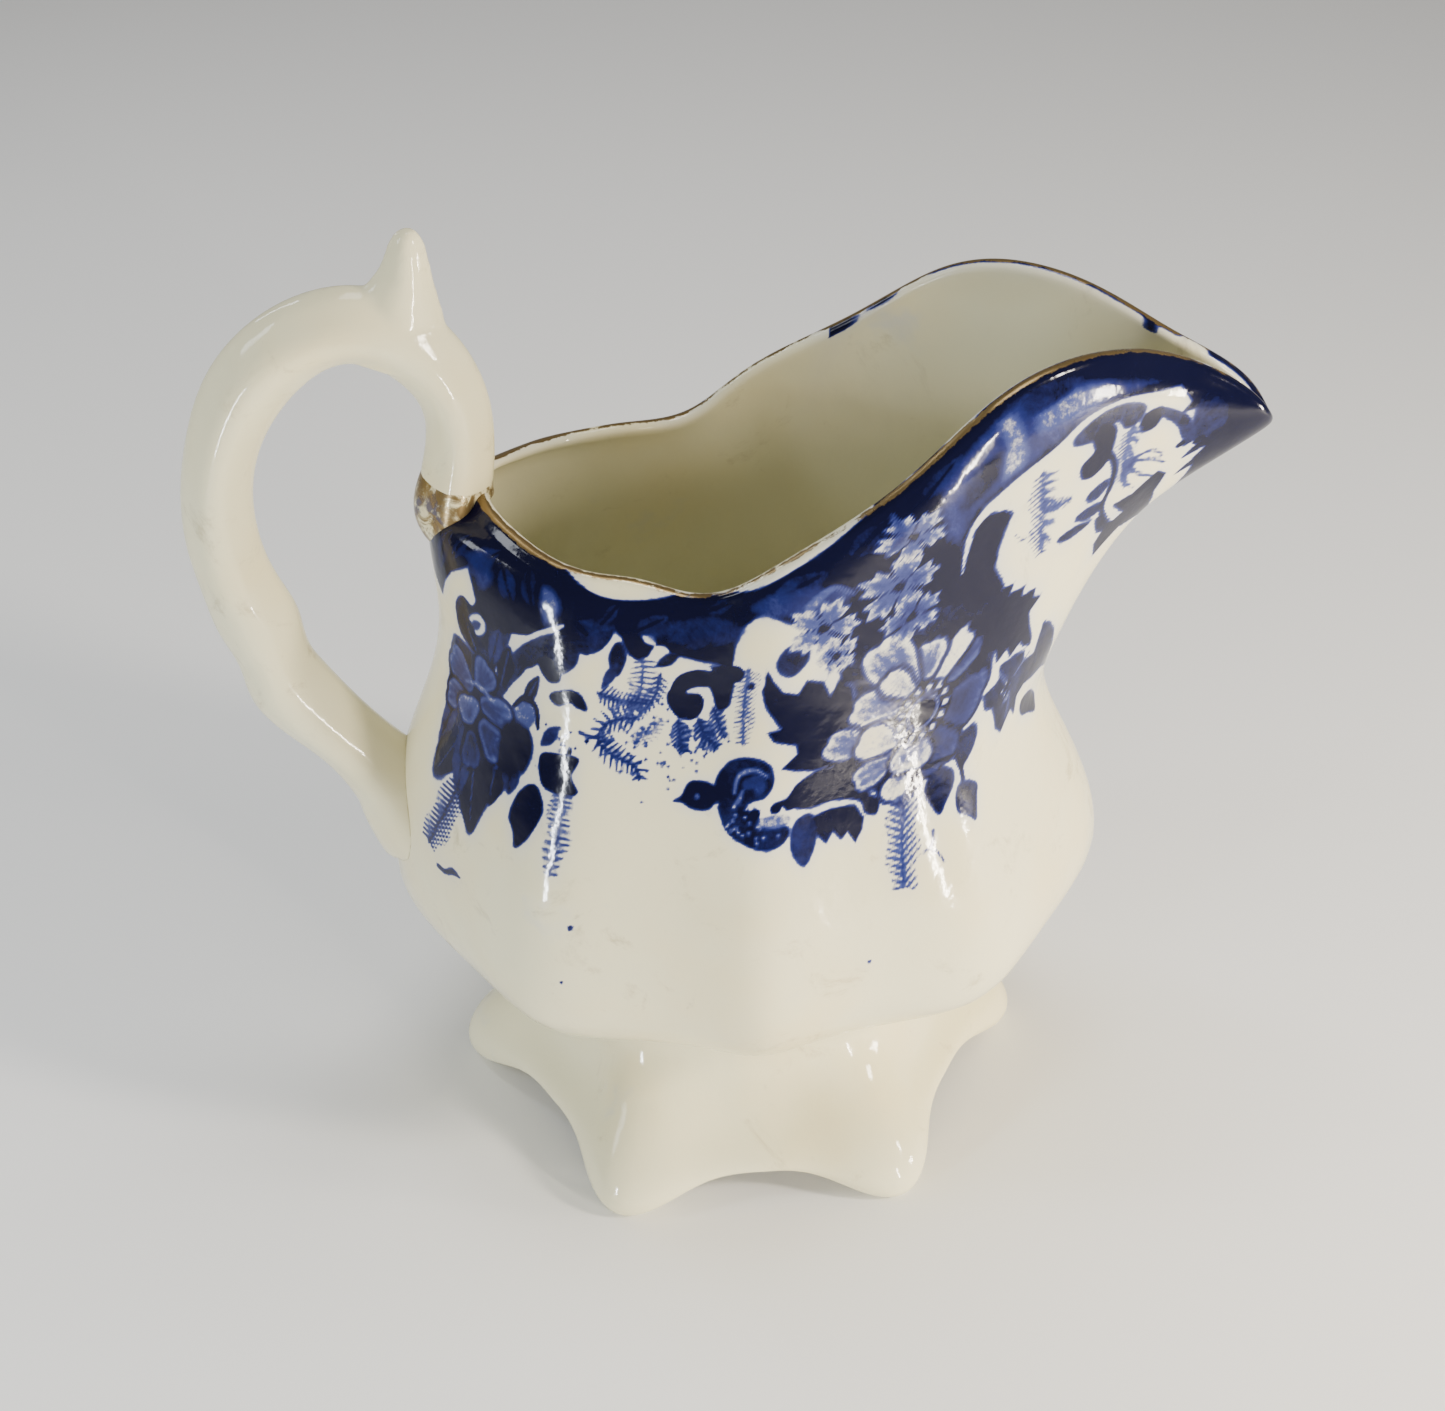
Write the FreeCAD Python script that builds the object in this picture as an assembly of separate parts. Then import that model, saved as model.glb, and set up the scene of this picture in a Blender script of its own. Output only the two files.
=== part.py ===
"""A porcelain cream jug: panelled oval body, skirted foot with six toes, and a scroll handle.

Millimetres. +Z is up and +X points to the spout; the jug stands on z = 0, over the foot's centre.
The body, the foot and the handle are smooth cubic surfaces, each spanned over a net of points.
"""

import FreeCAD
import Part
import math
import os

# ---- driving dimensions ----------------------------------------------------------------------

FOOT_TOP = 21.0          # height at which the foot meets the slip under the body
SLIP = 0.8               # thickness of the clay slip that joins two pieces
WALL = 3.0               # body wall at the bulge
RIM_WALL = 2.4           # wall at the rim
FLOOR = 3.4              # thickness of the body's floor

BODY_COLUMNS = 32        # points round the body, four to each panel
PANELS = 8
RIDGE_SHIFT = 0.15       # radians by which the slanting ridges move towards the flanks
RIDGE_WAVE = 0.85        # share of the ridges' first wave
RIDGE_CREASE = 0.15      # share of the second wave, which sharpens the ridges
RIDGE_LEVEL = 0.2        # how far the wave is let into the oval
FOOT_COLUMNS = 48        # points round the foot, eight to each toe
TOES = 6
TOE_POINT = 2.2          # the higher, the more pointed the toes
HANDLE_COLUMNS = 16

# Rows of the body below the neck: height, reach to the spout, reach to the handle, half width,
# and how far the panel ridges stand out as a share of the radius.
BODY_FLOOR = FOOT_TOP + SLIP
BODY_ROWS = [
    (BODY_FLOOR, 26.5, 25.5, 20.5, 0.030),
    (24.0, 37.0, 35.5, 26.8, 0.045),
    (27.8, 44.6, 42.0, 32.2, 0.055),
    (33.5, 48.0, 45.0, 35.7, 0.055),
    (40.5, 47.2, 44.8, 36.3, 0.050),
    (48.5, 44.4, 44.2, 35.3, 0.045),
    (56.5, 40.4, 42.0, 32.2, 0.040),
    (64.0, 38.0, 39.0, 29.5, 0.030),
]

# Half of the rim's middle line from the spout's tip to the handle: x, half width, height.
RIM = [
    (64.0, 0.0, 94.0), (61.3, 1.7, 98.0), (56.5, 2.2, 102.0), (50.5, 3.6, 106.8),
    (43.0, 7.8, 111.2), (34.5, 12.6, 112.6), (26.0, 16.9, 110.4), (16.5, 20.4, 101.5),
    (4.0, 22.6, 95.2), (-2.5, 20.8, 89.6), (-7.5, 19.5, 88.9), (-12.5, 17.2, 90.2),
    (-17.5, 16.2, 90.0), (-22.5, 13.6, 90.7), (-26.5, 9.0, 91.8), (-29.5, 5.0, 93.0),
    (-30.5, 0.0, 93.5),
]

# Rows between neck and rim: the share of the way up, then the swell outwards at each station.
SWELL_STATIONS = (0.0, 12.0, 34.0, 56.0, 90.0, 135.0, 160.0, 180.0)      # degrees from the spout
NECK_ROWS = [
    (0.20, (-2.8, -1.9, -1.0, -0.8, -0.5, -0.3, -0.3, -0.2)),
    (0.42, (-5.8, -3.8, -1.2, -1.0, -0.8, 0.1, 0.6, 0.9)),
    (0.64, (-7.2, -4.2, 0.6, 0.8, -0.2, 1.0, 2.2, 3.4)),
    (0.83, (-4.6, -1.8, 2.2, 2.2, 0.8, 1.8, 3.2, 5.6)),
    (0.94, (-0.6, 0.8, 2.0, 2.0, 0.9, 1.5, 2.8, 6.0)),
]
# Section over the rim: share of the half wall outwards, and height above the middle line.
RIM_ROLL = [(1.0, -0.9), (0.8, 0.0), (0.0, 0.4), (-0.8, 0.0), (-1.0, -0.9)]
SPOUT_GROOVE = 0.4       # half width kept open along the pinched end of the spout
SWELL_LENGTHWISE = 0.6   # how much of a swell goes along x, beside 1 along y
# Rows of the body's floor: height above it, and share of the bulge's inner reach.
FLOOR_ROWS = [(3.6, 0.86), (1.1, 0.70), (0.1, 0.48), (0.0, 0.2)]
FLOOR_PATTERN = BODY_ROWS[3]
# The block that trims the handle ends in a lid: its height, and the shares of the way inwards.
LID_HEIGHT = 90.0
LID_SLOPE = 0.5
LID_FLAT = 0.9

# Rows of the foot: height and radius between toes, height and radius on a toe, oval share.
FOOT_ROWS = [
    (FOOT_TOP, 25.0, FOOT_TOP, 25.0, 0.10),
    (17.0, 24.6, 17.0, 25.4, 0.08),
    (12.5, 25.6, 13.0, 28.6, 0.05),
    (8.8, 28.0, 9.5, 34.0, 0.02),
    (6.8, 31.0, 5.4, 39.2, 0.00),
    (5.0, 32.0, 0.8, 40.2, 0.00),
    (4.4, 30.4, -1.6, 37.4, 0.00),
    (5.4, 27.8, 0.0, 33.6, 0.00),
    (8.0, 24.4, 7.0, 27.5, 0.02),
    (13.0, 22.0, 13.0, 22.6, 0.05),
    (17.0, 21.0, 17.0, 21.0, 0.08),
    (FOOT_TOP, 21.0, FOOT_TOP, 21.0, 0.10),
]

# Sections of the handle from the rim round to the bulge: x, z, depth in its plane, width across.
HANDLE_SECTIONS = [
    (-33.8, 83.0, 3.0, 5.0), (-33.7, 87.5, 7.4, 9.0), (-33.1, 92.0, 8.4, 9.4),
    (-31.9, 97.5, 7.7, 8.6),
    (-31.4, 103.0, 7.4, 8.2), (-33.0, 108.2, 8.0, 8.6), (-37.0, 112.9, 9.0, 9.2),
    (-42.0, 114.9, 9.0, 9.2), (-47.3, 113.9, 8.7, 9.0), (-52.0, 110.8, 8.9, 9.0),
    (-56.0, 106.3, 8.8, 9.0), (-58.9, 100.3, 7.8, 8.8), (-60.6, 93.5, 7.9, 8.8),
    (-60.8, 86.8, 8.3, 8.8), (-59.6, 80.5, 8.6, 9.0), (-58.0, 75.5, 10.4, 9.6),
    (-57.0, 70.7, 7.8, 9.0), (-56.0, 66.0, 10.6, 9.6), (-53.0, 61.7, 9.8, 9.6),
    (-49.7, 57.7, 8.8, 9.2), (-46.4, 53.2, 9.4, 10.0), (-43.0, 48.0, 12.0, 12.5),
    (-39.8, 43.0, 13.5, 14.0),
]
HANDLE_GIRTH = 1.06      # makes up for the thickness the smooth surface loses to its net
HANDLE_CREST = 0.05      # how far the handle's four lengthwise crests stand out
HANDLE_CRESTS = 4

# Sections of the thumb spur from its root to its tip: x, z, depth, width.
SPUR_SECTIONS = [
    (-38.2, 109.5, 9.0, 6.0), (-37.8, 113.5, 11.4, 7.4), (-36.9, 116.8, 9.2, 6.0),
    (-35.9, 120.0, 5.6, 4.6), (-35.6, 122.8, 4.4, 4.0), (-35.3, 124.7, 3.2, 3.0),
    (-35.2, 125.5, 1.2, 1.2),
]

# How far the slip collars stand out round the handle, section by section.
UPPER_COLLAR = [-1.0, 0.6, 0.5, -0.6]
LOWER_COLLAR = [-0.8, 0.8, 1.2]

ON_PLANE = 0.01          # a point nearer than this to the middle plane counts as on it
MEND = (0.01, 0.1)       # tolerance of a repair: usual and largest
GROUND = (200.0, 20.0)   # side and depth of the block that grinds the toes flat


# ---- smooth surfaces over a net of points ----------------------------------------------------

def cubic_surface(rows):
    """Uniform cubic surface, closed round each row and free-ended at the first and last row."""
    before = [a * 2 - b for a, b in zip(rows[0], rows[1])]
    after = [a * 2 - b for a, b in zip(rows[-1], rows[-2])]
    net = [before] + rows + [after]
    columns = len(rows[0])
    poles = [[row[k] for row in net] for k in range(columns)]
    round_knots = [float(k) for k in range(columns + 1)]
    along_knots = [float(k) for k in range(-3, len(rows) + 3)]
    surface = Part.BSplineSurface()
    surface.buildFromPolesMultsKnots(poles, [1] * len(round_knots), [1] * len(along_knots),
                                     round_knots, along_knots, True, False, 3, 3)
    surface.segment(0.0, float(columns), 0.0, float(len(rows) - 1))
    return surface


def closed_solid(rows):
    """The solid between a smooth band over rows and flat faces on its two ends."""
    band = cubic_surface(rows).toShape()
    ends = [Part.Face(Part.Wire(edge)) for edge in band.Edges if edge.isClosed()]
    flat_ends = [end for end in ends if end.Area > 0]
    shell = Part.Shell([band] + flat_ends)
    return as_positive(Part.Solid(shell))


def ring_solid(rows):
    """The solid of a smooth band over rows whose first and last rows share one flat ring."""
    band = cubic_surface(rows).toShape()
    loops = sorted((Part.Wire(e) for e in band.Edges if e.isClosed()), key=lambda w: -w.Length)
    ring = Part.Face(loops[:2], "Part::FaceMakerBullseye")
    return as_positive(Part.Solid(Part.Shell([band, ring])))


def as_positive(solid):
    """The same solid with its faces looking outwards."""
    if solid.Volume < 0:
        solid.reverse()
    if not solid.isValid():
        solid.fix(MEND[0], MEND[0], MEND[1])
    return solid


def between(stations, values, at):
    """The value at a place on a broken line through values at stations."""
    for left, right, low, high in zip(stations, stations[1:], values, values[1:]):
        if at <= right:
            return low + (high - low) * (at - left) / (right - left)
    return values[-1]


# ---- body --------------------------------------------------------------------------------------

def panelled_oval(height, front, back, half_width, ridge):
    """One row of points round the body: an oval whose ridges stand out between soft panels."""
    row = []
    for k in range(BODY_COLUMNS):
        turn = 2 * math.pi * k / BODY_COLUMNS
        angle = turn + RIDGE_SHIFT * math.sin(2 * turn)
        wave = RIDGE_WAVE * math.cos(PANELS * turn) + RIDGE_CREASE * math.cos(2 * PANELS * turn)
        swell = 1 + ridge * (wave - RIDGE_LEVEL)
        reach = front if math.cos(angle) > 0 else back
        row.append(FreeCAD.Vector(reach * swell * math.cos(angle),
                                  half_width * swell * math.sin(angle), height))
    return row


def rim_line():
    """The rim's middle line, all the way round from the spout's tip."""
    half = [FreeCAD.Vector(*point) for point in RIM]
    return half + [FreeCAD.Vector(p.x, -p.y, p.z) for p in half[-2:0:-1]]


def outward(row, k):
    """The level direction that points out of a closed row at its point k."""
    along = row[(k + 1) % len(row)] - row[k - 1]
    return FreeCAD.Vector(along.y, -along.x, 0).normalize()


def moved_out(row, amount, rise=0.0):
    """A row moved level and outwards; moved inwards, it stays clear of the middle plane."""
    moved = []
    for k, point in enumerate(row):
        place = point + outward(row, k) * amount + FreeCAD.Vector(0, 0, rise)
        if amount < 0 and abs(point.y) > ON_PLANE:
            least = min(SPOUT_GROOVE, abs(point.y))
            half_width = abs(place.y) if abs(place.y) <= abs(point.y) else least
            place.y = math.copysign(max(half_width, least), point.y)
        moved.append(place)
    return moved


def neck_rows():
    """The rows between the neck and the rim."""
    neck = panelled_oval(*BODY_ROWS[-1])
    rim = rim_line()
    rows = []
    for share, swells in NECK_ROWS:
        row = []
        for k, (low, high) in enumerate(zip(neck, rim)):
            degrees = 360.0 * k / BODY_COLUMNS
            swell = between(SWELL_STATIONS, swells, min(degrees, 360.0 - degrees))
            angle = math.radians(degrees) + RIDGE_SHIFT * math.sin(2 * math.radians(degrees))
            way = FreeCAD.Vector(SWELL_LENGTHWISE * math.cos(angle), math.sin(angle), 0)
            way.normalize()
            row.append(low * (1 - share) + high * share + way * swell)
        rows.append(row)
    return rows


def outer_rows():
    """Rows of the body's outer face from the floor to just under the rim."""
    return [panelled_oval(*row) for row in BODY_ROWS] + neck_rows()


def rim_rows():
    """Rows over the rounded rim, outside to inside."""
    return [moved_out(rim_line(), share * RIM_WALL / 2, rise) for share, rise in RIM_ROLL]


def inner_rows():
    """Rows of the inner face from under the rim down to the floor's middle."""
    rows = [moved_out(row, -RIM_WALL) for row in reversed(neck_rows())]
    for height, front, back, half_width, ridge in reversed(BODY_ROWS[3:]):
        rows.append(panelled_oval(height, front - WALL, back - WALL, half_width - WALL, ridge))
    for rise, share in FLOOR_ROWS:
        shrunk = [size * share for size in FLOOR_PATTERN[1:]]
        rows.append(panelled_oval(BODY_FLOOR + FLOOR + rise, *shrunk))
    return rows


def make_body():
    """The hollow body with its spout, cast in one piece."""
    return closed_solid(outer_rows() + rim_rows() + inner_rows())


def body_block():
    """The body's outer form filled solid up to the rim, for cutting what is joined to it."""
    share, rise = RIM_ROLL[0]
    rim = moved_out(rim_line(), share * RIM_WALL / 2, rise)
    middle = FreeCAD.Vector(0, 0, LID_HEIGHT)
    slope = [point * (1 - LID_SLOPE) + middle * LID_SLOPE for point in rim]
    flat = [FreeCAD.Vector(p.x * (1 - LID_FLAT), p.y * (1 - LID_FLAT), LID_HEIGHT) for p in rim]
    return closed_solid(outer_rows() + [rim, slope, flat])


# ---- foot --------------------------------------------------------------------------------------

def foot_row(low_height, low_radius, toe_height, toe_radius, oval):
    """One row of points round the foot."""
    row = []
    for k in range(FOOT_COLUMNS):
        turn = 2 * math.pi * k / FOOT_COLUMNS
        toe = ((1 + math.cos(TOES * turn)) / 2) ** TOE_POINT
        radius = low_radius + (toe_radius - low_radius) * toe
        height = low_height + (toe_height - low_height) * toe
        row.append(FreeCAD.Vector(radius * (1 + oval) * math.cos(turn),
                                  radius * (1 - oval) * math.sin(turn), height))
    return row


def make_foot():
    """The hollow skirted foot, its six toes ground flat where they stand."""
    skirt = ring_solid([foot_row(*row) for row in FOOT_ROWS])
    side, depth = GROUND
    corner = FreeCAD.Vector(-side / 2, -side / 2, -depth)
    return skirt.cut(Part.makeBox(side, side, depth, corner))


def make_foot_joint():
    """The layer of slip between the foot's top and the body's floor."""
    outer = foot_row(*FOOT_ROWS[0])
    inner = foot_row(*FOOT_ROWS[-1])
    faces = []
    for row in (outer, inner):
        curve = Part.BSplineCurve()
        curve.buildFromPolesMultsKnots(row, [1] * (len(row) + 1),
                                       [float(k) for k in range(len(row) + 1)], True, 3)
        faces.append(Part.Face(Part.Wire(curve.toShape())))
    ring = faces[0].cut(faces[1])
    return ring.Faces[0].extrude(FreeCAD.Vector(0, 0, SLIP))


# ---- handle ------------------------------------------------------------------------------------

def section_rows(sections, extras=None):
    """Rows of points round a bent bar, one row for each section, made thicker by its extra."""
    rows = []
    extras = extras or [0.0] * len(sections)
    for k, ((x, z, depth, width), extra) in enumerate(zip(sections, extras)):
        before = sections[max(k - 1, 0)]
        after = sections[min(k + 1, len(sections) - 1)]
        along = FreeCAD.Vector(after[0] - before[0], 0, after[1] - before[1]).normalize()
        across = FreeCAD.Vector(along.z, 0, -along.x)
        row = []
        for j in range(HANDLE_COLUMNS):
            turn = 2 * math.pi * j / HANDLE_COLUMNS
            crest = HANDLE_GIRTH + HANDLE_CREST * math.cos(HANDLE_CRESTS * turn)
            row.append(FreeCAD.Vector(x, 0, z)
                       + across * ((depth / 2 + extra) * crest * math.cos(turn))
                       + FreeCAD.Vector(0, (width / 2 + extra) * crest * math.sin(turn), 0))
        rows.append(row)
    return rows


def handle_bar():
    """The scroll handle's bar with its thumb spur, running into the body at both ends."""
    bar = closed_solid(section_rows(HANDLE_SECTIONS))
    spur = closed_solid(section_rows(SPUR_SECTIONS))
    return bar.fuse(spur)


def make_collar(sections, extras, block, bar):
    """A collar of slip round one end of the handle, against the body."""
    sleeve = closed_solid(section_rows(sections, extras))
    return largest(sleeve.cut(block).cut(bar))


def largest(shape):
    """The largest solid of a shape."""
    return max(shape.Solids, key=lambda solid: solid.Volume)


# ---- files -------------------------------------------------------------------------------------

def main():
    os.makedirs("parts", exist_ok=True)
    block = body_block()
    bar = handle_bar()
    pieces = {
        "body": make_body(),
        "foot": make_foot(),
        "foot_joint": make_foot_joint(),
        "handle": largest(bar.cut(block)),
        "upper_handle_joint": make_collar(HANDLE_SECTIONS[:4], UPPER_COLLAR, block, bar),
        "lower_handle_joint": make_collar(HANDLE_SECTIONS[-3:], LOWER_COLLAR, block, bar),
    }
    for name, shape in pieces.items():
        shape.exportStep("parts/" + name + ".step")
        box = shape.BoundBox
        print(name, shape.isValid(), len(shape.Solids), round(shape.Volume, 1),
              [round(v, 2) for v in (box.XMin, box.XMax, box.YMin, box.YMax, box.ZMin, box.ZMax)])


main()
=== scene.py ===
import math

import bpy
import numpy as np
from bpy.props import FloatProperty, FloatVectorProperty, IntProperty, PointerProperty
from mathutils import Matrix, Vector


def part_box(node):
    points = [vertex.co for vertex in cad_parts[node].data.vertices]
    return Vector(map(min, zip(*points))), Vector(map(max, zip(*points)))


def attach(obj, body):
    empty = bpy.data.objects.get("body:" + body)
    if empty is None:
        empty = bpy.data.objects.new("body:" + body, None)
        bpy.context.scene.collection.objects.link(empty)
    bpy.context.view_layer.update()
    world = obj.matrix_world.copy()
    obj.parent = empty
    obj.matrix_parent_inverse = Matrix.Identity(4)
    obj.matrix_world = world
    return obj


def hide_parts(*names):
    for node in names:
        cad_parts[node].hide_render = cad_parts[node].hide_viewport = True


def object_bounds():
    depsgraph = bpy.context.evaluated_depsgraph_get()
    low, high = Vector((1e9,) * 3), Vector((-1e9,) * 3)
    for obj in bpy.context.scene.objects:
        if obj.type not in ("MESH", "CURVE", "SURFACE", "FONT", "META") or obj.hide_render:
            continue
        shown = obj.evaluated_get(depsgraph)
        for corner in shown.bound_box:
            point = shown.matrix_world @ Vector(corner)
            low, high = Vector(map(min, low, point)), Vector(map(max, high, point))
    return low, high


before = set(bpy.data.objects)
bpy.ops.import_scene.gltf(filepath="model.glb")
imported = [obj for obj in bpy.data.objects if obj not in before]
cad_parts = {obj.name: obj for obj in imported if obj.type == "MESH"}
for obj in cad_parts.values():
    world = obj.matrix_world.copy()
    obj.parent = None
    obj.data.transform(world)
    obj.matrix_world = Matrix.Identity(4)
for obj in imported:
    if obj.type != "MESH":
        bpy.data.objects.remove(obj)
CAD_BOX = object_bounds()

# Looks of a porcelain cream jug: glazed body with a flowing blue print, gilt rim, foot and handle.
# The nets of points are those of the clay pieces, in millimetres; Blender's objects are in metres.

bl_info = {
    "name": "Cream Jug",
    "version": (1, 0, 0),
    "blender": (4, 5, 0),
    "location": "3D View > Sidebar > Cream Jug",
    "description": "Throws, prints, gilds and stages a panelled cream jug",
    "category": "Add Mesh",
}

MM = 0.001
LOW, HIGH = CAD_BOX
TALL = (HIGH.z - LOW.z) / MM

# ---- nets of the clay pieces, mm ---------------------------------------------------------------

PANELS, TOES = 8, 6
BODY_COLUMNS, FOOT_COLUMNS, HANDLE_COLUMNS = 32, 48, 16
RIDGE_SHIFT = 0.15
RIDGE_WAVE, RIDGE_CREASE, RIDGE_LEVEL = 0.85, 0.15, 0.2
FOOT_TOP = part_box("foot")[1].z / MM
BODY_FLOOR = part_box("body")[0].z / MM
FLOOR = 3.4

# height, reach to the spout, reach to the handle, half width, ridge share
BODY_ROWS = [
    (BODY_FLOOR, 26.5, 25.5, 20.5, 0.030),
    (24.0, 37.0, 35.5, 26.8, 0.045),
    (27.8, 44.6, 42.0, 32.2, 0.055),
    (33.5, 48.0, 45.0, 35.7, 0.055),
    (40.5, 47.2, 44.8, 36.3, 0.050),
    (48.5, 44.4, 44.2, 35.3, 0.045),
    (56.5, 40.4, 42.0, 32.2, 0.040),
    (64.0, 38.0, 39.0, 29.5, 0.030),
]
# half of the rim's middle line from the spout's tip to the handle: x, half width, height
RIM = [
    (63.3, 0.0, 96.2), (62.2, 2.2, 100.0), (57.4, 2.3, 103.9), (50.6, 2.8, 107.4),
    (43.0, 7.8, 111.2), (34.5, 12.6, 112.6), (26.0, 16.9, 110.4), (16.5, 20.4, 101.5),
    (4.0, 22.6, 95.2), (-2.5, 20.8, 89.6), (-7.5, 19.5, 88.9), (-12.5, 17.2, 90.2),
    (-17.5, 16.2, 90.0), (-22.5, 13.6, 90.7), (-26.5, 9.0, 91.8), (-29.5, 5.0, 93.0),
    (-30.5, 0.0, 93.5),
]
# rows between neck and rim: share of the way up, then the swell outwards at each station
SWELL_STATIONS = (0.0, 12.0, 34.0, 56.0, 90.0, 135.0, 160.0, 180.0)
SWELL_LENGTHWISE = 0.6
NECK_ROWS = [
    (0.20, (-2.8, -1.9, -1.0, -0.8, -0.5, -0.3, -0.3, -0.2)),
    (0.42, (-5.8, -3.8, -1.2, -1.0, -0.8, 0.1, 0.6, 0.9)),
    (0.64, (-7.0, -4.0, 0.6, 0.8, -0.2, 1.0, 2.2, 3.4)),
    (0.83, (-2.0, -0.2, 2.2, 2.2, 0.8, 1.8, 3.2, 5.6)),
    (0.94, (1.0, 1.8, 2.4, 2.0, 0.9, 1.5, 2.8, 6.0)),
]
RIM_ROLL = [(1.0, -0.9), (0.8, 0.0), (0.0, 0.4), (-0.8, 0.0), (-1.0, -0.9)]
SPOUT_GROOVE, ON_PLANE = 0.4, 0.01
FLOOR_ROWS = ((3.6, 0.86), (1.1, 0.70), (0.1, 0.48), (0.0, 0.2), (0.0, 0.02))

TOE_POINT = 2.2
# height and radius between toes, height and radius on a toe, oval share
FOOT_ROWS = [
    (FOOT_TOP, 25.0, FOOT_TOP, 25.0, 0.10), (17.0, 24.6, 17.0, 25.4, 0.08),
    (12.5, 25.6, 13.0, 28.6, 0.05), (8.8, 28.0, 9.5, 34.0, 0.02),
    (6.8, 31.0, 5.4, 39.2, 0.00), (5.0, 32.0, 0.8, 40.2, 0.00),
    (4.4, 30.4, -1.6, 37.4, 0.00), (5.4, 27.8, 0.0, 33.6, 0.00),
    (8.0, 24.4, 7.0, 27.5, 0.02), (13.0, 22.0, 13.0, 22.6, 0.05),
    (17.0, 21.0, 17.0, 21.0, 0.08), (FOOT_TOP, 21.0, FOOT_TOP, 21.0, 0.10),
]

# sections of the handle and of its thumb spur: x, z, depth in its plane, width across
HANDLE_SECTIONS = [
    (-33.8, 83.0, 3.0, 5.0), (-33.7, 87.5, 7.4, 9.0), (-33.1, 92.0, 8.4, 9.4),
    (-31.9, 97.5, 7.7, 8.6), (-31.4, 103.0, 7.4, 8.2), (-33.0, 108.2, 8.0, 8.6),
    (-37.0, 112.9, 9.0, 9.2), (-42.0, 114.9, 9.0, 9.2), (-47.3, 113.9, 8.7, 9.0),
    (-52.0, 110.8, 8.9, 9.0), (-56.0, 106.3, 8.8, 9.0), (-58.9, 100.3, 7.8, 8.8),
    (-60.6, 93.5, 7.9, 8.8), (-60.8, 86.8, 8.3, 8.8), (-59.6, 80.5, 8.6, 9.0),
    (-58.0, 75.5, 10.4, 9.6), (-57.0, 70.7, 7.8, 9.0), (-56.0, 66.0, 10.6, 9.6),
    (-53.0, 61.7, 9.8, 9.6), (-49.7, 57.7, 8.8, 9.2), (-46.4, 53.2, 9.4, 10.0),
    (-43.0, 48.0, 12.0, 12.5), (-39.8, 43.0, 13.5, 14.0),
]
SPUR_SECTIONS = [
    (-38.2, 109.5, 9.0, 6.0), (-37.8, 113.5, 11.4, 7.4), (-36.9, 116.8, 9.2, 6.0),
    (-35.9, 120.0, 5.6, 4.6), (-35.6, 122.8, 4.4, 4.0), (-35.3, 124.7, 3.2, 3.0),
    (-35.2, 125.5, 1.2, 1.2),
]
HANDLE_GIRTH, HANDLE_CREST, HANDLE_CRESTS = 1.02, 0.09, 4
# how far each collar of slip stands out from the bar's end sections
UPPER_COLLAR = (-1.0, 0.6, 0.5, -0.6)
LOWER_COLLAR = (-0.8, 0.8, 1.2)
# slip squeezed out at the foot: share of the bulge, share of the joint's height
SLIP_OUTSIDE = ((0.2, 0.0), (0.9, 0.15), (1.0, 0.5), (0.9, 0.85), (0.2, 1.0))
SLIP_INSIDE = (1.0, 0.5, 0.0)


# ---- sizes and colours a user would change -----------------------------------------------------

def colour(name, text, value):
    """A colour property in linear light."""
    return FloatVectorProperty(name=name, description=text, default=value, size=3,
                               subtype="COLOR", min=0.0, max=1.0)


class JugSizes(bpy.types.PropertyGroup):
    """Sizes of the clay, in metres."""
    wall: FloatProperty(name="Wall", description="Body wall at the bulge", default=3.0 * MM,
                        unit="LENGTH")
    rim_wall: FloatProperty(name="Rim wall", description="Wall at the rim", default=2.4 * MM,
                            unit="LENGTH")
    slip_bulge: FloatProperty(name="Slip bulge", description="How far slip squeezed from the foot "
                              "joint stands out", default=0.5 * MM, unit="LENGTH")
    girth_points: IntProperty(name="Girth points", description="Points round the printed wall",
                              default=800, min=64)
    clay_grain: FloatProperty(name="Clay grain", description="Voxel that blends handle, spur and "
                              "slip", default=0.4 * MM, unit="LENGTH")


class JugColours(bpy.types.PropertyGroup):
    """Colours of glaze, print and gilding, and the painted light and shade inside."""
    glaze: colour("Glaze", "White glaze", (0.70, 0.66, 0.44))
    glaze_warm: colour("Warm glaze", "Glaze where it pools and yellows", (0.70, 0.60, 0.33))
    inner: colour("Inner glaze", "Glaze painted in for the light and shade inside", (0.74, 0.72, 0.52))
    # painted light and shade: the inside is painted towards this colour the deeper it lies below the rim
    halo: colour("Flow", "Cobalt that flowed into the glaze", (0.40, 0.45, 0.62))
    ink_pale: colour("Pale ink", "Thin print", (0.060, 0.080, 0.235))
    ink_mid: colour("Ink", "Print", (0.010, 0.014, 0.085))
    ink_dark: colour("Dark ink", "Print where it is thickest", (0.0022, 0.0026, 0.016))
    gilt: colour("Gilding", "Worn gold", (0.17, 0.115, 0.045))
    stain: colour("Stain", "Brown stain under the glaze", (0.36, 0.30, 0.17))
    speck: colour("Speck", "Firing speck", (0.03, 0.04, 0.12))
    floor: colour("Floor", "Studio floor", (0.84, 0.84, 0.83))
    floor_cloud: colour("Floor cloud", "Studio floor where it is duller", (0.80, 0.80, 0.79))


class JugStage(bpy.types.PropertyGroup):
    """Camera and light."""
    turn: FloatProperty(name="Turn", description="Camera's turn round the jug",
                        default=math.radians(-4.6), subtype="ANGLE")
    tilt: FloatProperty(name="Tilt", description="Camera's height above the horizon",
                        default=math.radians(38.8), subtype="ANGLE")
    roll: FloatProperty(name="Roll", description="Camera's roll", default=math.radians(-0.45),
                        subtype="ANGLE")
    distance: FloatProperty(name="Distance", description="From camera to the jug's middle",
                            default=286.0 * MM, unit="LENGTH")
    lens: FloatProperty(name="Lens", description="Focal length in millimetres", default=54.8)
    key: FloatProperty(name="Key light", description="Power of the key light", default=0.50,
                       unit="POWER")
    sky: FloatProperty(name="Sky", description="Strength of the even light", default=0.22)


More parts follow.
